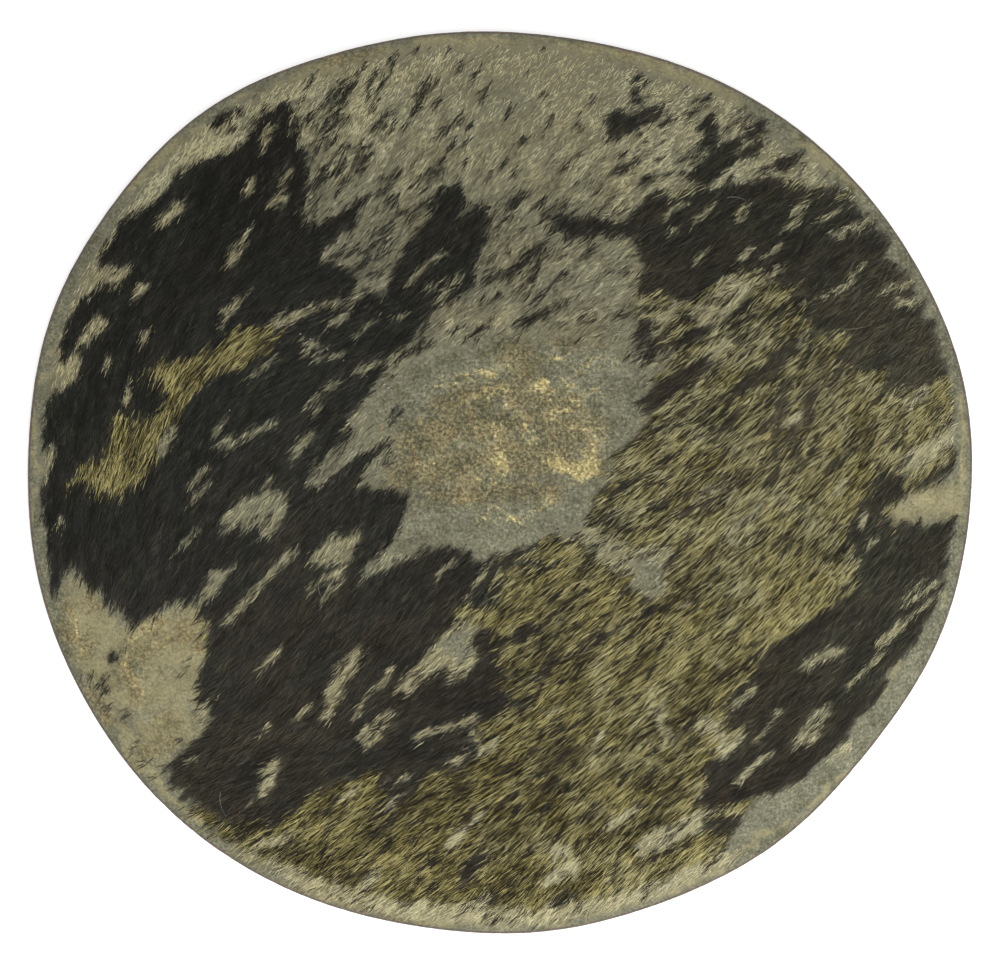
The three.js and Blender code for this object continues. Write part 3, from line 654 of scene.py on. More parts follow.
def skinHeight(x, y):
    return faceHeight(x + middleOffset[0], y + middleOffset[1]) + gridSample(reliefGrid, x, y)


def makeMesh(name, corners, faces):
    mesh = bpy.data.meshes.new(name)
    mesh.vertices.add(len(corners))
    mesh.vertices.foreach_set("co", (np.asarray(corners) * mm).astype(np.float32).ravel())
    sides = faces.shape[1]
    mesh.loops.add(faces.size)
    mesh.loops.foreach_set("vertex_index", faces.astype(np.int32).ravel())
    mesh.polygons.add(len(faces))
    mesh.polygons.foreach_set("loop_start", np.arange(0, faces.size, sides, dtype=np.int32))
    mesh.update(calc_edges=True)
    mesh.validate()
    return mesh


# A number or a vector for each corner of a mesh
def addValues(mesh, name, values):
    values = np.asarray(values, np.float32)
    kind, field = ("FLOAT_VECTOR", "vector") if values.ndim == 2 else ("FLOAT", "value")
    mesh.attributes.new(name, kind, "POINT").data.foreach_set(field, values.ravel())


def addMap(mesh, places):
    layer = mesh.uv_layers.new(name="OFBake")
    layer.uv.foreach_set("vector", places.astype(np.float32).ravel())


def addPiece(name, mesh):
    piece = bpy.data.objects.new(name, mesh)
    bpy.context.scene.collection.objects.link(piece)
    return piece


# Nodes are made with their inputs, given by name or by number
def socketNamed(sockets, name):
    if isinstance(name, int):
        return sockets[name]
    return next(socket for socket in sockets if socket.name == name and socket.enabled)


def addNode(tree, kind, inputs=None, **settings):
    node = tree.nodes.new(kind)
    for name, value in settings.items():
        setattr(node, name, value)
    for name, value in (inputs or {}).items():
        socket = socketNamed(node.inputs, name)
        if isinstance(value, bpy.types.NodeSocket):
            tree.links.new(value, socket)
        else:
            socket.default_value = value
    return node


def maths(tree, operation, *values):
    return addNode(tree, "ShaderNodeMath", dict(enumerate(values)), operation=operation).outputs[0]


def vectorMaths(tree, operation, *values):
    return addNode(tree, "ShaderNodeVectorMath", dict(enumerate(values)), operation=operation).outputs[0]


def scaledVector(tree, vector, scale):
    inputs = {0: vector, "Scale": scale}
    return addNode(tree, "ShaderNodeVectorMath", inputs, operation="SCALE").outputs[0]


def noiseNode(tree, place, scale, detail, roughness=0.5):
    inputs = {"Vector": place, "Scale": scale, "Detail": detail, "Roughness": roughness}
    return addNode(tree, "ShaderNodeTexNoise", inputs).outputs[0]


# One tree grows every coat. Each strand is a closed three-sided spike. The ground's attributes
# say where strands grow (roots), how light and how warm they are (tone, warmth), how long they
# may be (reach) and which way they lie (flow).
strandInputs = {
    "Density": 1e6,           # strands to a square metre
    "Length": 0.011,
    "Length Spread": 0.3,
    "Overshoot": 0.002,       # most that a strand lies over the next area
    "Width": 0.0006,
    "Depth": 0.00012,
    "Lift": 9.0,              # degrees off the skin
    "Lift Spread": 5.0,
    "Turn Spread": 9.0,
    "Lock Size": 0.007,
    "Lock Turn": 60.0,
    "Lock Pull": 30.0,
    "Streak Width": 0.003,
    "Streak Reach": 0.014,
    "Streak Contrast": 2.0,
    "Tone Spread": 0.15,
    "Tip Lightness": 0.2,
    "Seed": 1,
    "Material": None,
}
socketKinds = {float: "NodeSocketFloat", int: "NodeSocketInt", type(None): "NodeSocketMaterial"}
strandBuild = {
    "lockSample": 0.15,       # how far to each side a lock's slope is read, as a share of its size
    "pullTurn": 10.0,         # degrees
    "wanderSize": 1.7,        # as a share of a lock's size
    "wanderPlace": (3.1, 1.7, 0.4),
    "streakSamples": (-0.5, -0.25, 0.0, 0.25, 0.5),
    "widthShare": 0.577,      # radius of a three-sided cone for a width of 1
    "ridgeOnMap": 0.2,
    "mapFill": 0.7,           # of a strand's own square on the map
    "mapMargin": 0.15,
}


def makeStrandTree():
    build = strandBuild
    tree = bpy.data.node_groups.new("strandCoat", "GeometryNodeTree")
    tree.interface.new_socket("Geometry", in_out="INPUT", socket_type="NodeSocketGeometry")
    tree.interface.new_socket("Geometry", in_out="OUTPUT", socket_type="NodeSocketGeometry")
    for name, value in strandInputs.items():
        socket = tree.interface.new_socket(name, in_out="INPUT", socket_type=socketKinds[type(value)])
        if value is not None:
            socket.default_value = value
    given = addNode(tree, "NodeGroupInput").outputs

    def add(first, second):
        return maths(tree, "ADD", first, second)

    def multiply(first, second):
        return maths(tree, "MULTIPLY", first, second)

    def named(name, kind="FLOAT"):
        return addNode(tree, "GeometryNodeInputNamedAttribute", {"Name": name}, data_type=kind).outputs[0]

    def stored(geometry, name, value, kind="FLOAT", domain="POINT"):
        inputs = {"Geometry": geometry, "Name": name, "Value": value}
        node = addNode(tree, "GeometryNodeStoreNamedAttribute", inputs, data_type=kind, domain=domain)
        return node.outputs[0]

    def randomBetween(low, high, seed):
        node = addNode(tree, "FunctionNodeRandomValue", {"Min": low, "Max": high}, data_type="FLOAT")
        tree.links.new(add(given["Seed"], float(seed)), socketNamed(node.inputs, "Seed"))
        return socketNamed(node.outputs, "Value")

    def varied(value, spread, seed):
        return add(value, multiply(randomBetween(-1.0, 1.0, seed), given[spread]))

    def noiseAt(place, cell):
        return noiseNode(tree, place, maths(tree, "DIVIDE", 1.0, cell), 1.0)

    # roots
    density = multiply(named("roots"), given["Density"])
    scatter = addNode(tree, "GeometryNodeDistributePointsOnFaces", {
        "Mesh": given["Geometry"], "Density": density, "Seed": given["Seed"],
    }, distribute_method="RANDOM")
    points, normal = scatter.outputs["Points"], scatter.outputs["Normal"]

    # which way each strand lies: with its neighbours, and drawn in to the middle of a lock
    place = addNode(tree, "GeometryNodeInputPosition").outputs[0]
    flow = named("flow", "FLOAT_VECTOR")
    side = vectorMaths(tree, "CROSS_PRODUCT", normal, flow)
    lockStep = scaledVector(tree, side, multiply(given["Lock Size"], build["lockSample"]))
    lockLeft = noiseAt(vectorMaths(tree, "ADD", place, lockStep), given["Lock Size"])
    lockRight = noiseAt(vectorMaths(tree, "SUBTRACT", place, lockStep), given["Lock Size"])
    pull = multiply(maths(tree, "SUBTRACT", lockLeft, lockRight), given["Lock Pull"])
    farAway = vectorMaths(tree, "ADD", place, build["wanderPlace"])
    wander = noiseAt(farAway, multiply(given["Lock Size"], build["wanderSize"]))
    wander = multiply(maths(tree, "SUBTRACT", wander, 0.5), given["Lock Turn"])
    turn = varied(add(wander, multiply(pull, build["pullTurn"])), "Turn Spread", 1)
    turned = addNode(tree, "ShaderNodeVectorRotate", {
        "Vector": flow, "Axis": normal, "Angle": maths(tree, "RADIANS", turn),
    }, rotation_type="AXIS_ANGLE").outputs[0]
    lift = maths(tree, "RADIANS", varied(given["Lift"], "Lift Spread", 2))
    level = scaledVector(tree, turned, maths(tree, "COSINE", lift))
    raised = scaledVector(tree, normal, maths(tree, "SINE", lift))
    rotation = addNode(tree, "FunctionNodeAxesToRotation", {
        "Primary Axis": vectorMaths(tree, "ADD", level, raised), "Secondary Axis": normal,
    }, primary_axis="X", secondary_axis="Z").outputs[0]

    # tone: the coat's own, in streaks down the hair, and a little for each strand
    streakSum = None
    for step in build["streakSamples"]:
        shift = scaledVector(tree, flow, multiply(given["Streak Reach"], step))
        sample = noiseAt(vectorMaths(tree, "ADD", place, shift), given["Streak Width"])
        streakSum = sample if streakSum is None else add(streakSum, sample)
    streak = maths(tree, "SUBTRACT", multiply(streakSum, 1 / len(build["streakSamples"])), 0.5)
    tone = add(named("tone"), multiply(streak, given["Streak Contrast"]))
    points = stored(points, "strandTone", varied(tone, "Tone Spread", 3))
    points = stored(points, "cell", addNode(tree, "GeometryNodeInputIndex").outputs[0])

    # the strand: a spike laid along X, its ridge upwards
    spike = addNode(tree, "GeometryNodeMeshCone", {
        "Vertices": 3, "Radius Top": 0.0, "Radius Bottom": 1.0, "Depth": 1.0,
    }, fill_type="NGON").outputs[0]
    spikePlace = addNode(tree, "GeometryNodeInputPosition").outputs[0]
    corner = addNode(tree, "ShaderNodeSeparateXYZ", {0: spikePlace}).outputs
    ridge = multiply(maths(tree, "MAXIMUM", corner["X"], 0.0), build["ridgeOnMap"])
    spike = stored(spike, "spikeU", add(multiply(corner["Y"], build["widthShare"]), 0.5))
    spike = stored(spike, "spikeV", add(corner["Z"], ridge))
    spikeSize = addNode(tree, "ShaderNodeCombineXYZ", {
        "X": given["Depth"], "Y": multiply(given["Width"], build["widthShare"]), "Z": given["Length"],
    }).outputs[0]
    spike = addNode(tree, "GeometryNodeTransform", {
        "Geometry": spike, "Rotation": (math.pi, -math.pi / 2, 0), "Scale": spikeSize,
    }).outputs[0]

    allowed = maths(tree, "MULTIPLY_ADD", randomBetween(0.0, 1.0, 5), given["Overshoot"], named("reach"))
    allowed = maths(tree, "DIVIDE", allowed, given["Length"])
    lengthFactor = maths(tree, "MINIMUM", varied(1.0, "Length Spread", 4), allowed)
    scale = addNode(tree, "ShaderNodeCombineXYZ", {"X": lengthFactor, "Y": 1.0, "Z": 1.0}).outputs[0]
    strands = addNode(tree, "GeometryNodeInstanceOnPoints", {
        "Points": points, "Instance": spike, "Rotation": rotation, "Scale": scale,
    }).outputs[0]
    strands = addNode(tree, "GeometryNodeRealizeInstances", {"Geometry": strands}).outputs[0]
    flat = {"Geometry": strands, "Shade Smooth": False}
    strands = addNode(tree, "GeometryNodeSetShadeSmooth", flat).outputs[0]
    along = maths(tree, "SUBTRACT", named("spikeV"), 0.5)
    tipTone = maths(tree, "MULTIPLY_ADD", along, given["Tip Lightness"], named("strandTone"))
    strands = stored(strands, "strandTone", tipTone)

    # each strand has a square of its own on the map
    size = addNode(tree, "GeometryNodeAttributeDomainSize", {"Geometry": points}, component="POINTCLOUD")
    across = maths(tree, "CEIL", maths(tree, "SQRT", size.outputs["Point Count"]))
    cell = named("cell")
    row = maths(tree, "FLOOR", maths(tree, "DIVIDE", cell, across))
    column = maths(tree, "SUBTRACT", cell, multiply(row, across))

    def onMap(within, square):
        start = add(square, build["mapMargin"])
        reach = maths(tree, "MULTIPLY_ADD", named(within), build["mapFill"], start)
        return maths(tree, "DIVIDE", reach, across)

    inputs = {"X": onMap("spikeU", column), "Y": onMap("spikeV", row)}
    mapPlace = addNode(tree, "ShaderNodeCombineXYZ", inputs).outputs[0]
    strands = stored(strands, "OFBake", mapPlace, "FLOAT2", "CORNER")
    inputs = {"Geometry": strands, "Material": given["Material"]}
    strands = addNode(tree, "GeometryNodeSetMaterial", inputs).outputs[0]
    tree.links.new(strands, addNode(tree, "NodeGroupOutput").inputs[0])
    return tree


strandTree = makeStrandTree()
groundInset = 4    # millimetres of bare skin inside the edge


# The ground that the hair grows from: the grid where it is over the face
def makeGround():
    rows, columns = gridX.shape
    over = gridInset > groundInset
    number = np.arange(rows * columns).reshape(rows, columns)
    whole = over[:-1, :-1] & over[1:, :-1] & over[:-1, 1:] & over[1:, 1:]
    quads = np.stack([number[:-1, :-1], number[:-1, 1:], number[1:, 1:], number[1:, :-1]], axis=-1)[whole]
    used = np.unique(quads)
    renumber = np.zeros(rows * columns, int)
    renumber[used] = np.arange(len(used))
    height = skinHeight(gridX, gridY)
    corners = np.stack([gridX, gridY, height], axis=-1).reshape(-1, 3)[used]
    mesh = makeMesh("ground", corners, renumber[quads])
    slopeX = np.gradient(height, layout["step"], axis=1)
    slopeY = np.gradient(height, layout["step"], axis=0)
    down = slopeX * towardsX + slopeY * towardsY
    flow = np.stack([towardsX, towardsY, down], axis=-1)
    flow /= np.linalg.norm(flow, axis=-1, keepdims=True)
    addValues(mesh, "flow", flow.reshape(-1, 3)[used])
    return mesh, used


ground, groundUsed = makeGround()
print("ground", len(ground.polygons), "squares")


def growCoat(name, settings, roots, tone, warmth):
    mesh = ground.copy()
    for attribute, values in (("roots", roots), ("tone", tone), ("warmth", warmth), ("reach", room * mm)):
        addValues(mesh, attribute, values.ravel()[groundUsed])
    source = addPiece(name + "Ground", mesh)
    modifier = source.modifiers.new("coat", "NODES")
    modifier.node_group = strandTree
    for socket in strandTree.interface.items_tree:
        if socket.in_out == "INPUT" and socket.name in settings:
            modifier[socket.identifier] = settings[socket.name]
    graph = bpy.context.evaluated_depsgraph_get()
    grown = source.evaluated_get(graph)
    coat = bpy.data.meshes.new_from_object(grown, preserve_all_data_layers=True, depsgraph=graph)
    coat.name = name
    bpy.data.objects.remove(source)
    bpy.data.meshes.remove(mesh)
    for unused in ("cell", "spikeU", "spikeV", "roots", "tone", "reach", "flow"):
        if unused in coat.attributes:
            coat.attributes.remove(coat.attributes[unused])
    coat.uv_layers["OFBake"].active_render = True
    print(name, len(coat.polygons), "faces")
    return addPiece(name, coat)


# Colours are given as they look on a screen, from 0 to 255
def screenColour(red, green, blue):
    channels = []
    for value in (red, green, blue):
        share = value / 255
        channels.append(share / 12.92 if share <= 0.04045 else ((share + 0.055) / 1.055) ** 2.4)
    return (*channels, 1)


def colourRamp(tree, value, stops):
    node = addNode(tree, "ShaderNodeValToRGB", {0: value})
    elements = node.color_ramp.elements
    while len(elements) < len(stops):
        elements.new(0.5)
    for element, (position, colour) in zip(elements, stops):
        element.position = position
        element.color = screenColour(*colour)
    return node.outputs[0]


def newMaterial(name, roughness, specular):
    material = bpy.data.materials.new(name)
    material.use_nodes = True
    tree = material.node_tree
    shader = tree.nodes["Principled BSDF"]
    shader.inputs["Roughness"].default_value = roughness
    shader.inputs["Specular IOR Level"].default_value = specular
    return material, tree, shader


def objectPlace(tree):
    return addNode(tree, "ShaderNodeTexCoord").outputs["Object"]


def valueOf(tree, attribute, output="Fac"):
    return addNode(tree, "ShaderNodeAttribute", attribute_name=attribute).outputs[output]


def mixColours(tree, share, under, over):
    node = addNode(tree, "ShaderNodeMix", data_type="RGBA")
    for socket, value in zip((node.inputs[0], node.inputs[6], node.inputs[7]), (share, under, over)):
        if isinstance(value, bpy.types.NodeSocket):
            tree.links.new(value, socket)
        else:
            socket.default_value = value
    return node.outputs[2]


def mapRange(tree, value, low, high):
    inputs = {"Value": value, "From Min": low, "From Max": high}
    return addNode(tree, "ShaderNodeMapRange", inputs, interpolation_type="SMOOTHSTEP").outputs[0]


# All hair has two ramps of colour by tone, and takes the second where it is warm or in patches
hairLook = {
    "roughness": 0.55,
    "patchStrength": 1.6,
    "warmFrom": 0.6,
    "warmFull": 1.6,
}


def hairMaterial(name, look):
    material, tree, shader = newMaterial(name, hairLook["roughness"], look["specular"])
    tone, warmth = valueOf(tree, "strandTone"), valueOf(tree, "warmth")
    patch = noiseNode(tree, objectPlace(tree), look["patchScale"], 2.0)
    patch = maths(tree, "MULTIPLY_ADD", patch, hairLook["patchStrength"], warmth)
    share = mapRange(tree, patch, hairLook["warmFrom"], hairLook["warmFull"])
    ramps = [colourRamp(tree, tone, look[kind]) for kind in ("colours", "warmColours")]
    tree.links.new(mixColours(tree, share, *ramps), shader.inputs["Base Color"])
    return material


# Each coat has its colours, its strands, and readings at a few pixels of how light it is (tones)
# and how golden or brown (warmths). Patches are width and reach in millimetres, seed, strength.
blackCoat = {
    "look": {
        "specular": 0.2,
        "patchScale": 40,
        "colours": [(0.0, (20, 21, 16)), (0.4, (39, 40, 32)), (0.75, (70, 69, 57)), (1.0, (112, 109, 88))],
        "warmColours": [(0.0, (23, 20, 16)), (0.4, (46, 41, 33)),
                        (0.75, (80, 72, 56)), (1.0, (122, 112, 86))],
    },
    "strands": {
        "Density": 1.08e6, "Length": 0.007, "Width": 0.00054, "Depth": 0.00011, "Overshoot": 0.0035,
        "Lift": 7.0, "Turn Spread": 8.0,
        "Lock Size": 0.006, "Lock Turn": 20.0, "Lock Pull": 12.0,
        "Streak Width": 0.0013, "Streak Reach": 0.006, "Streak Contrast": 1.5, "Tone Spread": 0.28,
        "Tip Lightness": 0.15,
    },
    "endLightness": 0.14,     # where the coat gives way to other hair
    "endReach": 2.5,          # millimetres
    "wispLightness": 0.24,    # dark wisps in the short hair at the top
    "wispRoots": 0.85,
    "patches": [(6, 14, 50, 0.05)],
    "westOf": 520,            # pixels at which it is parted into pieces
    "northOf": 565,
    # The black hair's tone rises from west to east: partly its own colour, partly painted sheen and light
    # from the right
    "tones": [
        (200, 350, 0.2), (150, 520, 0.24), (260, 250, 0.18), (330, 650, 0.42), (260, 760, 0.48),
        (440, 700, 0.4), (430, 250, 0.3), (370, 460, 0.36), (800, 240, 0.46), (880, 330, 0.72),
        (900, 560, 0.58), (840, 660, 0.55), (750, 760, 0.46), (700, 240, 0.44),
    ],
    "warmths": [
        (200, 350, 0.0), (260, 250, 0.0), (330, 650, 0.3), (440, 700, 0.4), (260, 760, 0.4),
        (800, 240, 0.2), (900, 560, 0.1), (750, 760, 0.4), (340, 120, 0.4), (400, 130, 0.4),
        (560, 240, 0.3), (700, 480, 0.5), (620, 640, 0.6), (560, 760, 0.6), (450, 230, 0.0),
        (380, 500, 0.1),
    ],
}

oliveCoat = {
    "look": {
        "specular": 0.2,
        "patchScale": 45,
        "colours": [(0.0, (31, 28, 22)), (0.28, (59, 55, 37)), (0.5, (99, 95, 61)),
                    (0.75, (145, 140, 95)), (1.0, (206, 201, 160))],
        "warmColours": [(0.0, (32, 27, 18)), (0.28, (59, 51, 28)), (0.5, (100, 92, 48)),
                        (0.75, (146, 136, 76)), (1.0, (202, 191, 130))],
    },
    "strands": {
        "Density": 1.6e6, "Length": 0.007, "Width": 0.00048, "Depth": 0.0001, "Overshoot": 0.003,
        "Lift": 7.0, "Turn Spread": 6.0,
        "Lock Size": 0.0045, "Lock Turn": 12.0, "Lock Pull": 8.0,
        "Streak Width": 0.0012, "Streak Reach": 0.005, "Streak Contrast": 3.0, "Tone Spread": 0.72,
        "Tip Lightness": 0.4,
    },
    "wispThinning": 0.7,      # share of its hair that gives way to a dark wisp
    "patches": [(7, 12, 51, 0.12), (16, 20, 52, 0.072)],
    "upperAbove": 640,
    "tones": [
        (780, 420, 0.52), (700, 460, 0.5), (800, 560, 0.62), (620, 640, 0.44), (560, 760, 0.32),
        (350, 850, 0.4), (420, 820, 0.37), (620, 850, 0.52), (700, 700, 0.54), (130, 450, 0.6),
        (200, 370, 0.46), (860, 440, 0.57), (520, 860, 0.34), (540, 620, 0.44), (580, 740, 0.32),
    ],
    "warmths": [
        (130, 450, 0.9), (200, 370, 0.8), (260, 345, 0.6), (560, 760, 0.7), (350, 850, 0.6),
        (420, 820, 0.7), (480, 860, 0.7), (600, 860, 0.4), (620, 640, 0.45), (700, 460, 0.25),
        (780, 420, 0.15), (800, 560, 0.35), (830, 620, 0.35), (690, 700, 0.35), (640, 740, 0.45),
        (720, 330, 0.15), (860, 440, 0.4),
    ],
}

paleCoat = {
    "look": {
        "specular": 0.3,
        "patchScale": 60,
        "colours": [(0.0, (58, 54, 42)), (0.3, (100, 97, 74)),
                    (0.6, (142, 139, 108)), (1.0, (200, 197, 160))],
        "warmColours": [(0.0, (58, 52, 38)), (0.3, (106, 100, 72)),
                        (0.6, (156, 148, 110)), (1.0, (216, 208, 166))],
    },
    "strands": {
        "Density": 1.3e6, "Length": 0.0048, "Width": 0.00046, "Depth": 0.00009, "Overshoot": 0.0022,
        "Lift": 7.0, "Turn Spread": 9.0,
        "Lock Size": 0.005, "Lock Turn": 20.0, "Lock Pull": 12.0,
        "Streak Width": 0.0016, "Streak Reach": 0.006, "Streak Contrast": 2.4, "Tone Spread": 0.36,
        "Tip Lightness": 0.2,
    },
    "endDarkness": 0.12,
    "tones": [
        (480, 90, 0.68), (330, 480, 0.62), (480, 900, 0.98), (140, 180, 0.68), (250, 510, 0.62),
        (680, 830, 0.85), (720, 310, 0.75), (900, 450, 0.9), (350, 690, 0.7), (600, 860, 0.85),
        (740, 510, 0.8), (450, 660, 0.75), (60, 370, 0.85), (630, 560, 0.7),
    ],
    "warmths": [
        (480, 500, 0.2), (480, 900, 0.6), (250, 510, 0.0), (70, 350, 0.7), (700, 840, 0.3), (900, 450, 0.3),
        (380, 700, 0.8), (440, 730, 0.8), (340, 680, 0.7), (280, 770, 0.6), (500, 760, 0.6),
    ],
}

topNap = {
    "look": {
        "specular": 0.3,
        "patchScale": 38,
        "colours": [(0.0, (40, 37, 30)), (0.25, (80, 77, 60)), (0.5, (116, 114, 92)),
                    (0.75, (150, 147, 120)), (1.0, (208, 204, 168))],
        "warmColours": [(0.0, (42, 37, 29)), (0.25, (84, 76, 54)), (0.5, (122, 115, 84)),
                        (0.75, (160, 152, 114)), (1.0, (216, 208, 162))],
    },
    "strands": {
        "Density": 1.35e6, "Length": 0.0036, "Width": 0.00044, "Depth": 0.00008, "Overshoot": 0.0015,
        "Lift": 6.0, "Turn Spread": 12.0,
        "Lock Size": 0.004, "Lock Turn": 24.0, "Lock Pull": 12.0,
        "Streak Width": 0.0014, "Streak Reach": 0.0045, "Streak Contrast": 1.9, "Tone Spread": 0.3,
        "Tip Lightness": 0.2,
    },
    "wispThinning": 0.6,
    "fadeSoft": 60,           # steps of the grid over which it thins out towards bald skin
    "fadeFrom": 1.05,
    "fadeSlope": 1.7,
    "patches": [(5, 8, 53, 0.09)],
    "bareShare": 0.8,         # of its hair, gone where a reading is 1
    "bareSpread": 40,         # pixels over which a reading counts
    "bareReadings": [
        (480, 60, 0.75), (540, 60, 0.95), (600, 75, 0.9), (560, 110, 0.65), (640, 90, 0.45), (430, 70, 0.6),
        (340, 110, 0.1), (400, 150, 0.0), (540, 160, 0.3), (600, 180, 0.2), (480, 240, 0.0),
        (600, 280, 0.1), (560, 320, 0.4), (450, 335, 0.3), (660, 130, 0.4), (740, 140, 0.2),
        (820, 160, 0.5), (330, 200, 0.5), (60, 370, 0.2), (140, 180, 0.3), (350, 440, 0.2), (600, 330, 0.4),
        (350, 265, 0.2),
    ],
    "tones": [
        (480, 48, 0.95), (570, 60, 0.95), (410, 60, 0.92), (480, 90, 0.86), (340, 80, 1.0),
        (370, 150, 0.76), (640, 60, 0.9), (740, 110, 0.9), (800, 140, 0.85), (560, 150, 0.5),
        (430, 150, 0.56), (400, 230, 0.3), (540, 290, 0.55), (700, 140, 0.85), (780, 170, 0.78),
        (140, 180, 1.1), (60, 350, 0.8), (330, 470, 0.6), (360, 400, 0.55), (480, 330, 0.56),
        (620, 300, 0.62), (500, 230, 0.58), (640, 380, 0.6),
    ],
    "warmths": [
        (480, 60, 0.5), (340, 80, 0.5), (420, 110, 0.2), (560, 70, 0.5), (540, 160, 0.3), (380, 240, 0.0),
        (500, 250, 0.1), (600, 300, 0.0), (560, 200, 0.5), (660, 130, 0.2), (740, 150, 0.2),
        (140, 180, 0.4), (50, 370, 0.6), (350, 440, 0.1), (450, 330, 0.3), (540, 320, 0.3),
    ],
}

coats = []


def growCoats(name, coat, slotName, roots, toneShift, parts):
    material = hairMaterial(name + "Hair", coat["look"])
    tone, warmth = spreadReadings(coat["tones"]) + toneShift, spreadReadings(coat["warmths"])
    for pieceName, where, seed in parts:
        settings = {**coat["strands"], "Seed": seed, "Material": material}
        coats.append((growCoat(pieceName, settings, roots * where, tone, warmth), slotName))


atEnd = np.exp(-(room - layout["overshoot"]) / blackCoat["endReach"])


def growBlackCoat():
    otherHair = wisps & ~isKind("black", "worn")
    roots = np.maximum(softened(isKind("black")), blackCoat["wispRoots"] * softened(otherHair))
    napWisps = otherHair & isKind("nap")
    toneShift = (blackCoat["endLightness"] * atEnd + blackCoat["wispLightness"] * napWisps
                 + drawnNoises(blackCoat["patches"]))
    westSide, northSide = pixelX < blackCoat["westOf"], pixelY < blackCoat["northOf"]
    growCoats("black", blackCoat, "black_hair", roots, toneShift, [
        ("blackCoatWest", westSide & northSide, 11),
        ("blackCoatSouth", westSide & ~northSide, 12),
        ("blackCoatEast", ~westSide, 13),
    ])


def growOliveCoat():
    roots = softened(isKind("olive")) * (1 - oliveCoat["wispThinning"] * wisps)
    upper = pixelY < oliveCoat["upperAbove"]
    growCoats("olive", oliveCoat, "olive_hair", roots, drawnNoises(oliveCoat["patches"]), [
        ("oliveCoatUpper", upper, 21), ("oliveCoatLower", ~upper, 22),
    ])


def growPaleCoat():
    growCoats("pale", paleCoat, "pale_hair", softened(isKind("pale")), -paleCoat["endDarkness"] * atEnd,
              [("paleCoat", 1, 31)])


def growTopNap():
    bald = softened(isKind("worn"), topNap["fadeSoft"])
    roots = softened(isKind("nap")) * np.clip(topNap["fadeFrom"] - topNap["fadeSlope"] * bald, 0, 1)
    bare = spreadReadings(topNap["bareReadings"], topNap["bareSpread"])
    roots = roots * (1 - topNap["wispThinning"] * wisps) * (1 - topNap["bareShare"] * bare)
    growCoats("nap", topNap, "pale_hair", roots, drawnNoises(topNap["patches"]), [("topNap", 1, 41)])


growBlackCoat()
growOliveCoat()
growPaleCoat()
growTopNap()


# Bits of dust caught in the hair, and hairs that lie loose on it
looseBits = {
    "dust": [                 # pixel, pixel, width in pixels
        (303, 336, 2.2), (313, 341, 1.6), (321, 345, 2.2), (330, 351, 2.4), (337, 356, 2.2),
        (346, 362, 1.6), (386, 386, 3.4), (390, 389, 3.0), (393, 391, 2.0), (369, 378, 1.6),
        (378, 383, 1.4), (233, 411, 1.4), (271, 99, 2.2), (631, 156, 3.2), (636, 152, 2.6), (626, 160, 2.0),
        (842, 232, 3.0), (849, 228, 2.8), (836, 236, 2.0), (730, 708, 2.4),
    ],
    "dustReach": 0.7,         # of a bit's widest corner, as a share of its width
    "dustRagged": 0.3,
    "dustDepth": 0.35,        # as a share of its width
    "dustSides": 6,
    "hairs": [                # pixels from end to end, and how far the middle bows out
        (321, 579, 326, 599, 2), (222, 790, 228, 815, 3), (725, 200, 745, 203, -2), (840, 330, 870, 325, 2),
        (480, 722, 486, 741, 0.5),
    ],
    "hairWidth": 0.26,        # millimetres
    "hairTaper": 0.7,
    "hairArch": 0.3,
    "hairSteps": 8,
    "hairSides": 3,
    "above": 1.1,             # millimetres over the skin
    "speckleScale": 1200,
    "colours": [(0.3, (122, 120, 104)), (0.5, (160, 160, 144)), (0.7, (190, 192, 180))],
}


# A flat, ragged bit with a point above and a point below
def dustBit(number, px, py, width):
    x, y = toMillimetres(px, py)
    middle = skinHeight(np.array([x]), np.array([y]))[0] + looseBits["above"]
    size = width * photo["pixel"]
    deep = 0.5 * looseBits["dustDepth"] * size
    sides, ragged = looseBits["dustSides"], looseBits["dustRagged"]
    corners, faces = [], []
    for corner in range(sides):
        angle = number + corner * 2 * math.pi / sides
        reach = looseBits["dustReach"] * size * (1 - ragged + ragged * math.sin(3 * number + 2.4 * corner))
        corners.append((x + reach * math.cos(angle), y + reach * math.sin(angle), middle))
        here, there = corner, (corner + 1) % sides
        faces += [(here, there, sides), (there, here, sides + 1)]
    return corners + [(x, y, middle + deep), (x, y, middle - deep)], faces


# A thin closed tube that narrows to its end
def looseHair(startX, startY, endX, endY, bow):
    share = np.linspace(0, 1, looseBits["hairSteps"] + 1)
    length = math.hypot(endX - startX, endY - startY)
    out = bow * 4 * share * (1 - share)
    x, y = toMillimetres(startX + share * (endX - startX) - out * (endY - startY) / length,
                         startY + share * (endY - startY) + out * (endX - startX) / length)
    z = skinHeight(x, y) + looseBits["above"] + looseBits["hairArch"] * np.sin(math.pi * share)
    path = np.stack([x, y, z], axis=1)
    along = np.gradient(path, axis=0)
    along /= np.linalg.norm(along, axis=1, keepdims=True)
    side = np.cross(along, (0, 0, 1))
    over = np.cross(side, along)
    half = 0.5 * looseBits["hairWidth"] * (1 - looseBits["hairTaper"] * share)
    corners, faces, sides = [], [], looseBits["hairSides"]
    for step in range(len(share)):
        for turn in range(sides):
            angle = turn * 2 * math.pi / sides
            outwards = math.cos(angle) * side[step] + math.sin(angle) * over[step]
            corners.append(path[step] + half[step] * outwards)
            if step < len(share) - 1:
                here, beside = sides * step + turn, sides * step + (turn + 1) % sides
                faces += [(here, beside, here + sides), (beside, beside + sides, here + sides)]
    last = sides * (len(share) - 1)
    return corners, faces + [(2, 1, 0), (last, last + 1, last + 2)]


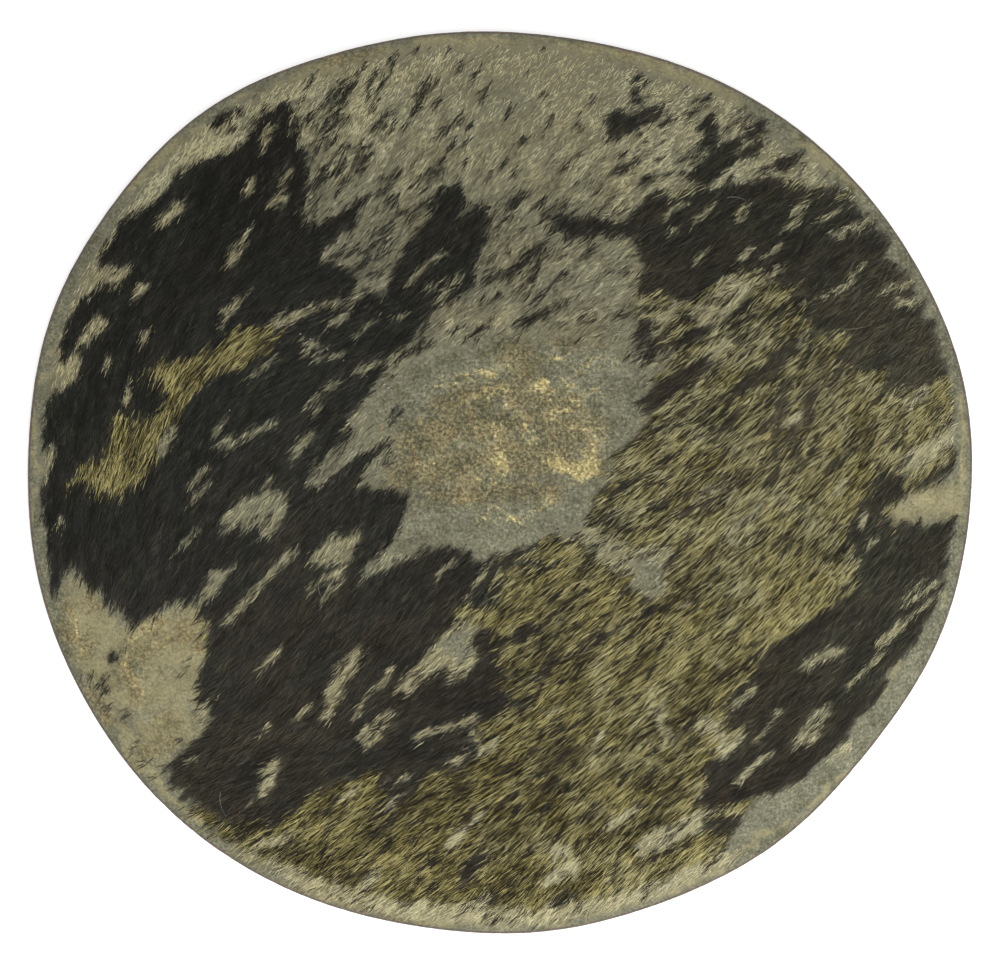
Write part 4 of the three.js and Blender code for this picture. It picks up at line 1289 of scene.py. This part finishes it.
def makeLooseBits():
    bits = [dustBit(number, *mark) for number, mark in enumerate(looseBits["dust"])]
    bits += [looseHair(*mark) for mark in looseBits["hairs"]]
    corners, faces = [], []
    for bitCorners, bitFaces in bits:
        faces += [tuple(len(corners) + corner for corner in face) for face in bitFaces]
        corners += bitCorners
    mesh = makeMesh("looseBits", np.array(corners), np.array(faces))
    material, tree, shader = newMaterial("dustAndLooseHair", 0.7, 0.2)
    speckle = noiseNode(tree, objectPlace(tree), looseBits["speckleScale"], 3.0)
    tree.links.new(colourRamp(tree, speckle, looseBits["colours"]), shader.inputs["Base Color"])
    mesh.materials.append(material)
    across = math.ceil(math.sqrt(len(faces)))
    number = np.arange(len(faces))
    square = np.stack([number % across, number // across], axis=1)[:, None, :]
    addMap(mesh, (square + [(0.1, 0.1), (0.8, 0.1), (0.1, 0.8)]) / across)
    return mesh


coats.append((addPiece("looseBits", makeLooseBits()), "pale_hair"))
print("loose bits of dust and hair")


# The hide itself
hideBuild = {
    "faceRings": 116,         # ring number K has six times K points
    "backRings": 40,
    "edgeRough": 0.25,        # millimetres of wear in the cut edge
    "edgeRoughCell": 9,
    "edgeRoughRadius": 300,
    # The cut edge and the face beside it are browner: partly the edge's own brown, partly painted shade
    # where the rim turns down
    "edgeWear": 0.55,         # how brown the face is beside the cut edge, which is 1
    "edgeBrownAndShadeWidth": 4,       # millimetres over which that fades
    "under": [(("black",), 3), (("olive",), 3), (("pale", "nap"), 30)],    # hair, and how soft its area is
    "markSoftness": 0.6,      # as a share of a mark's width
    "markWander": 8,          # pixels that the worn places' outlines wander
    "markWanderCell": 8,
    "frontMap": (0.41, 0.4),  # middle and reach on the map
    "backMap": (0.83, 0.16),
    "backMapRadius": 262,
}


# Rings of points, each evenly spaced on its share of the outline, and how many each has
def ringPoints(rings, radiusAt, heightAt):
    points = [np.array([[0.0, 0.0]])]
    for ring in range(1, rings + 1):
        angle = 2 * np.pi * np.arange(6 * ring) / (6 * ring)
        radius = ring / rings * radiusAt(angle)
        points.append(np.stack([radius * np.cos(angle), radius * np.sin(angle)], axis=1))
    flat = np.concatenate(points)
    return np.column_stack([flat, heightAt(flat[:, 0], flat[:, 1])]), [len(loop) for loop in points]


# The triangles between a loop of points and the next, which may have more or fewer
def zipLoops(innerStart, innerCount, outerStart, outerCount):
    triangles = []
    outerEnd = outerCount if outerCount > 1 else 0
    innerEnd = innerCount if innerCount > 1 else 0
    onInner = onOuter = 0
    while onInner < innerEnd or onOuter < outerEnd:
        here = innerStart + onInner % innerCount
        there = outerStart + onOuter % outerCount
        outerIsNext = (onOuter + 1) / outerCount <= (onInner + 1) / innerCount
        if onInner == innerEnd or (onOuter < outerEnd and outerIsNext):
            onOuter += 1
            triangles.append((here, there, outerStart + onOuter % outerCount))
        else:
            onInner += 1
            triangles.append((here, there, innerStart + onInner % innerCount))
    return triangles


# The section of the rim, from the shoulder of the face round to the land it rests on
def rimSection():
    shoulder = dish["edgeRound"]
    landInset = dish["bottomBevel"] + dish["rimLand"]
    return [                  # inset, height, how much of the wear shows, way out from the shoulder
        (0.3 * shoulder, edgeHeight - 0.3 * shoulder, 0.6, 1.4),
        (0.0, edgeHeight - shoulder, 1.0, 2.8),
        (0.3, 0.45 * edgeHeight, 1.0, 5.0),
        (dish["bottomBevel"], 0.0, 0.0, 7.6),
        (landInset, 0.0, 0.0, 13.0),
    ]


# How strongly any of some marks shows at each pixel, from 0 to 1
def markMask(marks, px, py):
    strength = 0 * px
    for *ends, width in marks:
        away = awayFrom(ends, px, py)
        strength = np.maximum(strength, np.exp(-(away / (hideBuild["markSoftness"] * width)) ** 2))
    return strength


# The hide's map: the face and the edge as one round, the back as a smaller one
def mapHide(mesh, corners, faces, ringShare, frontCount):
    turn = np.arctan2(corners[:, 1] + middleOffset[1], corners[:, 0] + middleOffset[0])
    around = np.stack([np.cos(turn), np.sin(turn)], axis=1)
    frontTotal = len(ringShare)
    middle, reach = hideBuild["frontMap"]
    frontMap = middle + (reach / ringShare.max() * ringShare)[:, None] * around[:frontTotal]
    backShare = np.hypot(corners[:, 0], corners[:, 1]) / hideBuild["backMapRadius"]
    middle, reach = hideBuild["backMap"]
    mapped = (middle + (reach * backShare)[:, None] * around)[faces]
    mapped[:frontCount] = frontMap[np.minimum(faces[:frontCount], frontTotal - 1)]
    addMap(mesh, mapped)


# What lies on the skin, how it is worn, and the brown with painted shade beside its edge
def wearHide(mesh, x, y, onFace):
    under = [gridSample(softened(isKind(*names), times), x, y) * onFace
             for names, times in hideBuild["under"]]
    addValues(mesh, "hairUnder", np.stack(under, axis=1))
    markX, markY = [
        pixels + hideBuild["markWander"] * roughNoise(x, y, hideBuild["markWanderCell"], seed, 2)
        for pixels, seed in zip(toPixels(x, y), (43, 47))
    ]
    gold, tan, cream, bright = [markMask(skinMarks[name], markX, markY) * onFace
                                for name in ("gold", "tan", "cream", "bright")]
    addValues(mesh, "wear", np.stack([gold, tan, cream], axis=1))
    addValues(mesh, "brightWear", bright)
    # Brown with painted shade by the edge: full off the face, fading over a few millimetres of the face
    inset = edgeInset(x + middleOffset[0], y + middleOffset[1]) - dish["edgeRound"]
    nearEdge = np.clip(1 - inset / hideBuild["edgeBrownAndShadeWidth"], 0, 1)
    addValues(mesh, "edgeWear", np.where(onFace, nearEdge * hideBuild["edgeWear"], 1))


def makeHide():
    def faceAt(x, y):
        return skinHeight(x - middleOffset[0], y - middleOffset[1])

    faceRings, backRings, section = hideBuild["faceRings"], hideBuild["backRings"], rimSection()
    points, counts = ringPoints(faceRings, lambda angle: edgeRadius(angle) - dish["edgeRound"], faceAt)
    outCount = counts[-1]
    angle = 2 * np.pi * np.arange(outCount) / outCount
    roughX, roughY = [hideBuild["edgeRoughRadius"] * way(angle) for way in (np.cos, np.sin)]
    rough = hideBuild["edgeRough"] * roughNoise(roughX, roughY, hideBuild["edgeRoughCell"], 41, 4)
    loops = [points]
    for inset, height, wear, _ in section:
        radius = edgeRadius(angle) - inset - np.abs(rough) * wear
        lifted = height + warpLift(angle, 1)
        loops.append(np.stack([radius * np.cos(angle), radius * np.sin(angle), lifted], axis=1))
        counts.append(outCount)
    frontLoops = len(counts)
    backInset = section[-1][0] + 0.5 * dish["thickness"]
    back, backCounts = ringPoints(backRings, lambda angle: edgeRadius(angle) - backInset, backHeight)
    backStarts = np.concatenate([[0], np.cumsum(backCounts)])
    for ring in range(backRings, -1, -1):
        loops.append(back[backStarts[ring]:backStarts[ring + 1]])
        counts.append(backCounts[ring])

    starts = np.concatenate([[0], np.cumsum(counts)])
    triangles, frontCount = [], 0
    for loop in range(len(counts) - 1):
        triangles += zipLoops(starts[loop], counts[loop], starts[loop + 1], counts[loop + 1])
        if loop == frontLoops - 2:
            frontCount = len(triangles)
    corners, faces = np.concatenate(loops), np.array(triangles)
    corners[:, :2] -= middleOffset
    mesh = makeMesh("rawHide", corners, faces)

    ringShare = [np.full(count, ring / faceRings) for ring, count in enumerate(counts[:faceRings + 1])]
    ringShare += [np.full(outCount, 1 + way / (dish["width"] / 2)) for *_, way in section]
    ringShare = np.concatenate(ringShare)
    mapHide(mesh, corners, faces, ringShare, frontCount)
    mesh.shade_smooth()
    number = np.arange(len(corners))
    wearHide(mesh, corners[:, 0], corners[:, 1], number < starts[faceRings + 1])
    addValues(mesh, "fleshSide", number >= len(ringShare) - outCount)
    return mesh


hide = addPiece("rawHide", makeHide())
print("hide", len(hide.data.polygons), "faces")


# The skin's layers lie over the grey in this order, each with a ramp of colours by tone. A layer
# shows where the sum of what brings it out passes from its first number to its second.
skinLook = {
    "roughness": 0.6,
    "specular": 0.3,
    "noises": {               # patches to a metre, detail, roughness, shift
        "mottle": (75, 5, 0.6, 0.0), "grain": (620, 5, 0.76, 0.0), "hue": (150, 5, 0.65, 0.53),
        "flakes": (330, 5, 0.74, 0.37), "pits": (430, 2, 0.5, 0.71), "flesh": (45, 6, 0.65, 0.0),
    },
    "tone": {"mottle": 0.7, "creamWear": 0.08, "goldWear": 0.08},
    "toneBase": 0.15,
    # Grain tone: partly the skin's own mottling, partly painted shade in the grain's hollows and painted
    # highlight on its crests
    "grainAndShadeStrength": 2.1,     # and 1 more on gold or tan, 1 less on cream
    "layers": {
        "moss": (-1.0, -0.66, {"hue": -1.4, "mottle": -0.6, "tanWear": 0.12}),
        "cream": (0.78, 1.02, {"creamWear": 0.4, "flakes": 0.35, "hue": 0.6, "mottle": 0.3}),
        "tan": (1.52, 2.15, {"tanWear": 0.55, "hue": 2.0, "mottle": 0.8}),
        "gold": (0.67, 0.75, {"goldWear": 0.16, "tanWear": 0.02, "brightWear": 0.2, "flakes": 1.0}),
    },
    "grey": [(0.15, (76, 75, 58)), (0.4, (106, 105, 84)), (0.6, (126, 125, 102)), (0.85, (160, 157, 128))],
    "moss": [(0.15, (62, 61, 42)), (0.4, (92, 89, 62)), (0.6, (114, 110, 78)), (0.85, (152, 147, 104))],
    "cream": [(0.1, (102, 96, 67)), (0.45, (134, 127, 93)), (0.9, (180, 172, 132))],
    "tan": [(0.15, (74, 67, 48)), (0.4, (104, 95, 66)), (0.6, (130, 118, 82)), (0.85, (168, 154, 110))],
    "gold": [(0.1, (118, 106, 68)), (0.45, (154, 141, 92)),
             (0.7, (192, 177, 122)), (0.95, (236, 222, 166))],
    "pitShare": (0.62, 0.7, 0.4),    # where they start and are full, and how strong they are
    "pits": (70, 66, 53),
    "underHair": ((30, 29, 26), (56, 52, 35), (130, 126, 101)),    # black, olive, then pale and nap
    "underHairShare": 0.85,
    # The edge layer: the cut edge's own brown and painted shade where the rim turns down
    "edgeShare": (0.78, 1.1, {"mottle": 0.5, "edgeWear": 1.0}),
    "edge": [(0.1, (66, 56, 46)), (0.5, (94, 82, 67)), (0.9, (134, 122, 98))],
    "flesh": [(0.2, (104, 86, 60)), (0.5, (142, 122, 88)), (0.8, (172, 152, 114))],
    "bumps": {"grain": 0.6, "flakes": 1.0},
    "bumpStrength": 0.8,
    "bumpDepth": 0.0008,
}


def skinMaterial():
    look = skinLook
    material, tree, shader = newMaterial("rawHideSkin", look["roughness"], look["specular"])
    place = objectPlace(tree)
    known = {name: valueOf(tree, name) for name in ("brightWear", "edgeWear", "fleshSide")}
    wear = addNode(tree, "ShaderNodeSeparateXYZ", {0: valueOf(tree, "wear", "Vector")}).outputs
    known["goldWear"], known["tanWear"], known["creamWear"] = wear[0], wear[1], wear[2]
    for name, (scale, detail, roughness, shift) in look["noises"].items():
        moved = vectorMaths(tree, "ADD", place, (shift, shift, shift)) if shift else place
        known[name] = noiseNode(tree, moved, scale, detail, roughness)

    def weighted(weights, total=0.0):
        for name, weight in weights.items():
            total = maths(tree, "MULTIPLY_ADD", known[name], weight, total)
        return total

    # Painted shade and highlight with the grain's own tone: lighter where the grain bump is high, darker
    # where it is low
    rough = maths(tree, "MAXIMUM", known["goldWear"], known["tanWear"])
    rough = maths(tree, "ADD", rough, look["grainAndShadeStrength"])
    rough = maths(tree, "SUBTRACT", rough, known["creamWear"])
    spread = maths(tree, "MULTIPLY", maths(tree, "SUBTRACT", known["grain"], 0.5), rough)
    tone = weighted(look["tone"], maths(tree, "ADD", spread, look["toneBase"]))

    colour = colourRamp(tree, tone, look["grey"])
    for name, (start, full, weights) in look["layers"].items():
        share = mapRange(tree, weighted(weights), start, full)
        colour = mixColours(tree, share, colour, colourRamp(tree, tone, look[name]))
    start, full, strength = look["pitShare"]
    pits = maths(tree, "MULTIPLY", mapRange(tree, known["pits"], start, full), strength)
    colour = mixColours(tree, pits, colour, screenColour(*look["pits"]))
    hairUnder = addNode(tree, "ShaderNodeSeparateXYZ", {0: valueOf(tree, "hairUnder", "Vector")}).outputs
    for share, covered in zip(hairUnder, look["underHair"]):
        share = maths(tree, "MULTIPLY", share, look["underHairShare"])
        colour = mixColours(tree, share, colour, screenColour(*covered))
    start, full, weights = look["edgeShare"]
    share = mapRange(tree, weighted(weights), start, full)
    colour = mixColours(tree, share, colour, colourRamp(tree, tone, look["edge"]))
    colour = mixColours(tree, known["fleshSide"], colour, colourRamp(tree, known["flesh"], look["flesh"]))
    tree.links.new(colour, shader.inputs["Base Color"])

    bump = addNode(tree, "ShaderNodeBump", {
        "Strength": look["bumpStrength"], "Distance": look["bumpDepth"], "Height": weighted(look["bumps"]),
    }).outputs[0]
    tree.links.new(bump, shader.inputs["Normal"])
    return material


hide.data.materials.append(skinMaterial())

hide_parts("hide")
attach(hide, "root")
for piece, slotName in coats:
    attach(piece, "root")


# Floor and light
studio = {
    "floorSize": 6.0,
    "floorPaper": 0.85,
    "floorGlow": 0.6,
    "sky": 0.54,
    "keyPower": 48,
    "keySize": 1.4,
    "keyPlace": (0.8, -1.4, 2.0),
}


def layFloor():
    half, paper = studio["floorSize"] / 2, studio["floorPaper"]
    mesh = bpy.data.meshes.new("floor")
    corners = [(-half, -half, 0), (half, -half, 0), (half, half, 0), (-half, half, 0)]
    mesh.from_pydata(corners, [], [(0, 1, 2, 3)])
    floor = addPiece("floor", mesh)
    material, tree, shader = newMaterial("floorPaper", 0.9, 0.1)
    shader.inputs["Base Color"].default_value = (paper, paper, paper, 1)
    shader.inputs["Emission Color"].default_value = (1, 1, 1, 1)
    shader.inputs["Emission Strength"].default_value = studio["floorGlow"]
    mesh.materials.append(material)


def lightStudio():
    lamp = bpy.data.lights.new("keyLight", "AREA")
    lamp.energy = studio["keyPower"]
    lamp.size = studio["keySize"]
    light = bpy.data.objects.new("keyLight", lamp)
    bpy.context.scene.collection.objects.link(light)
    light.location = studio["keyPlace"]
    x, y, z = studio["keyPlace"]
    light.rotation_euler = (math.atan2(math.hypot(x, y), z), 0, math.atan2(y, x) + math.pi / 2)

    world = bpy.data.worlds.new("studioWorld")
    bpy.context.scene.world = world
    world.use_nodes = True
    background = world.node_tree.nodes["Background"]
    background.inputs["Color"].default_value = (1, 1, 1, 1)
    background.inputs["Strength"].default_value = studio["sky"]
    bpy.context.scene.view_settings.view_transform = "Standard"


layFloor()
lightStudio()
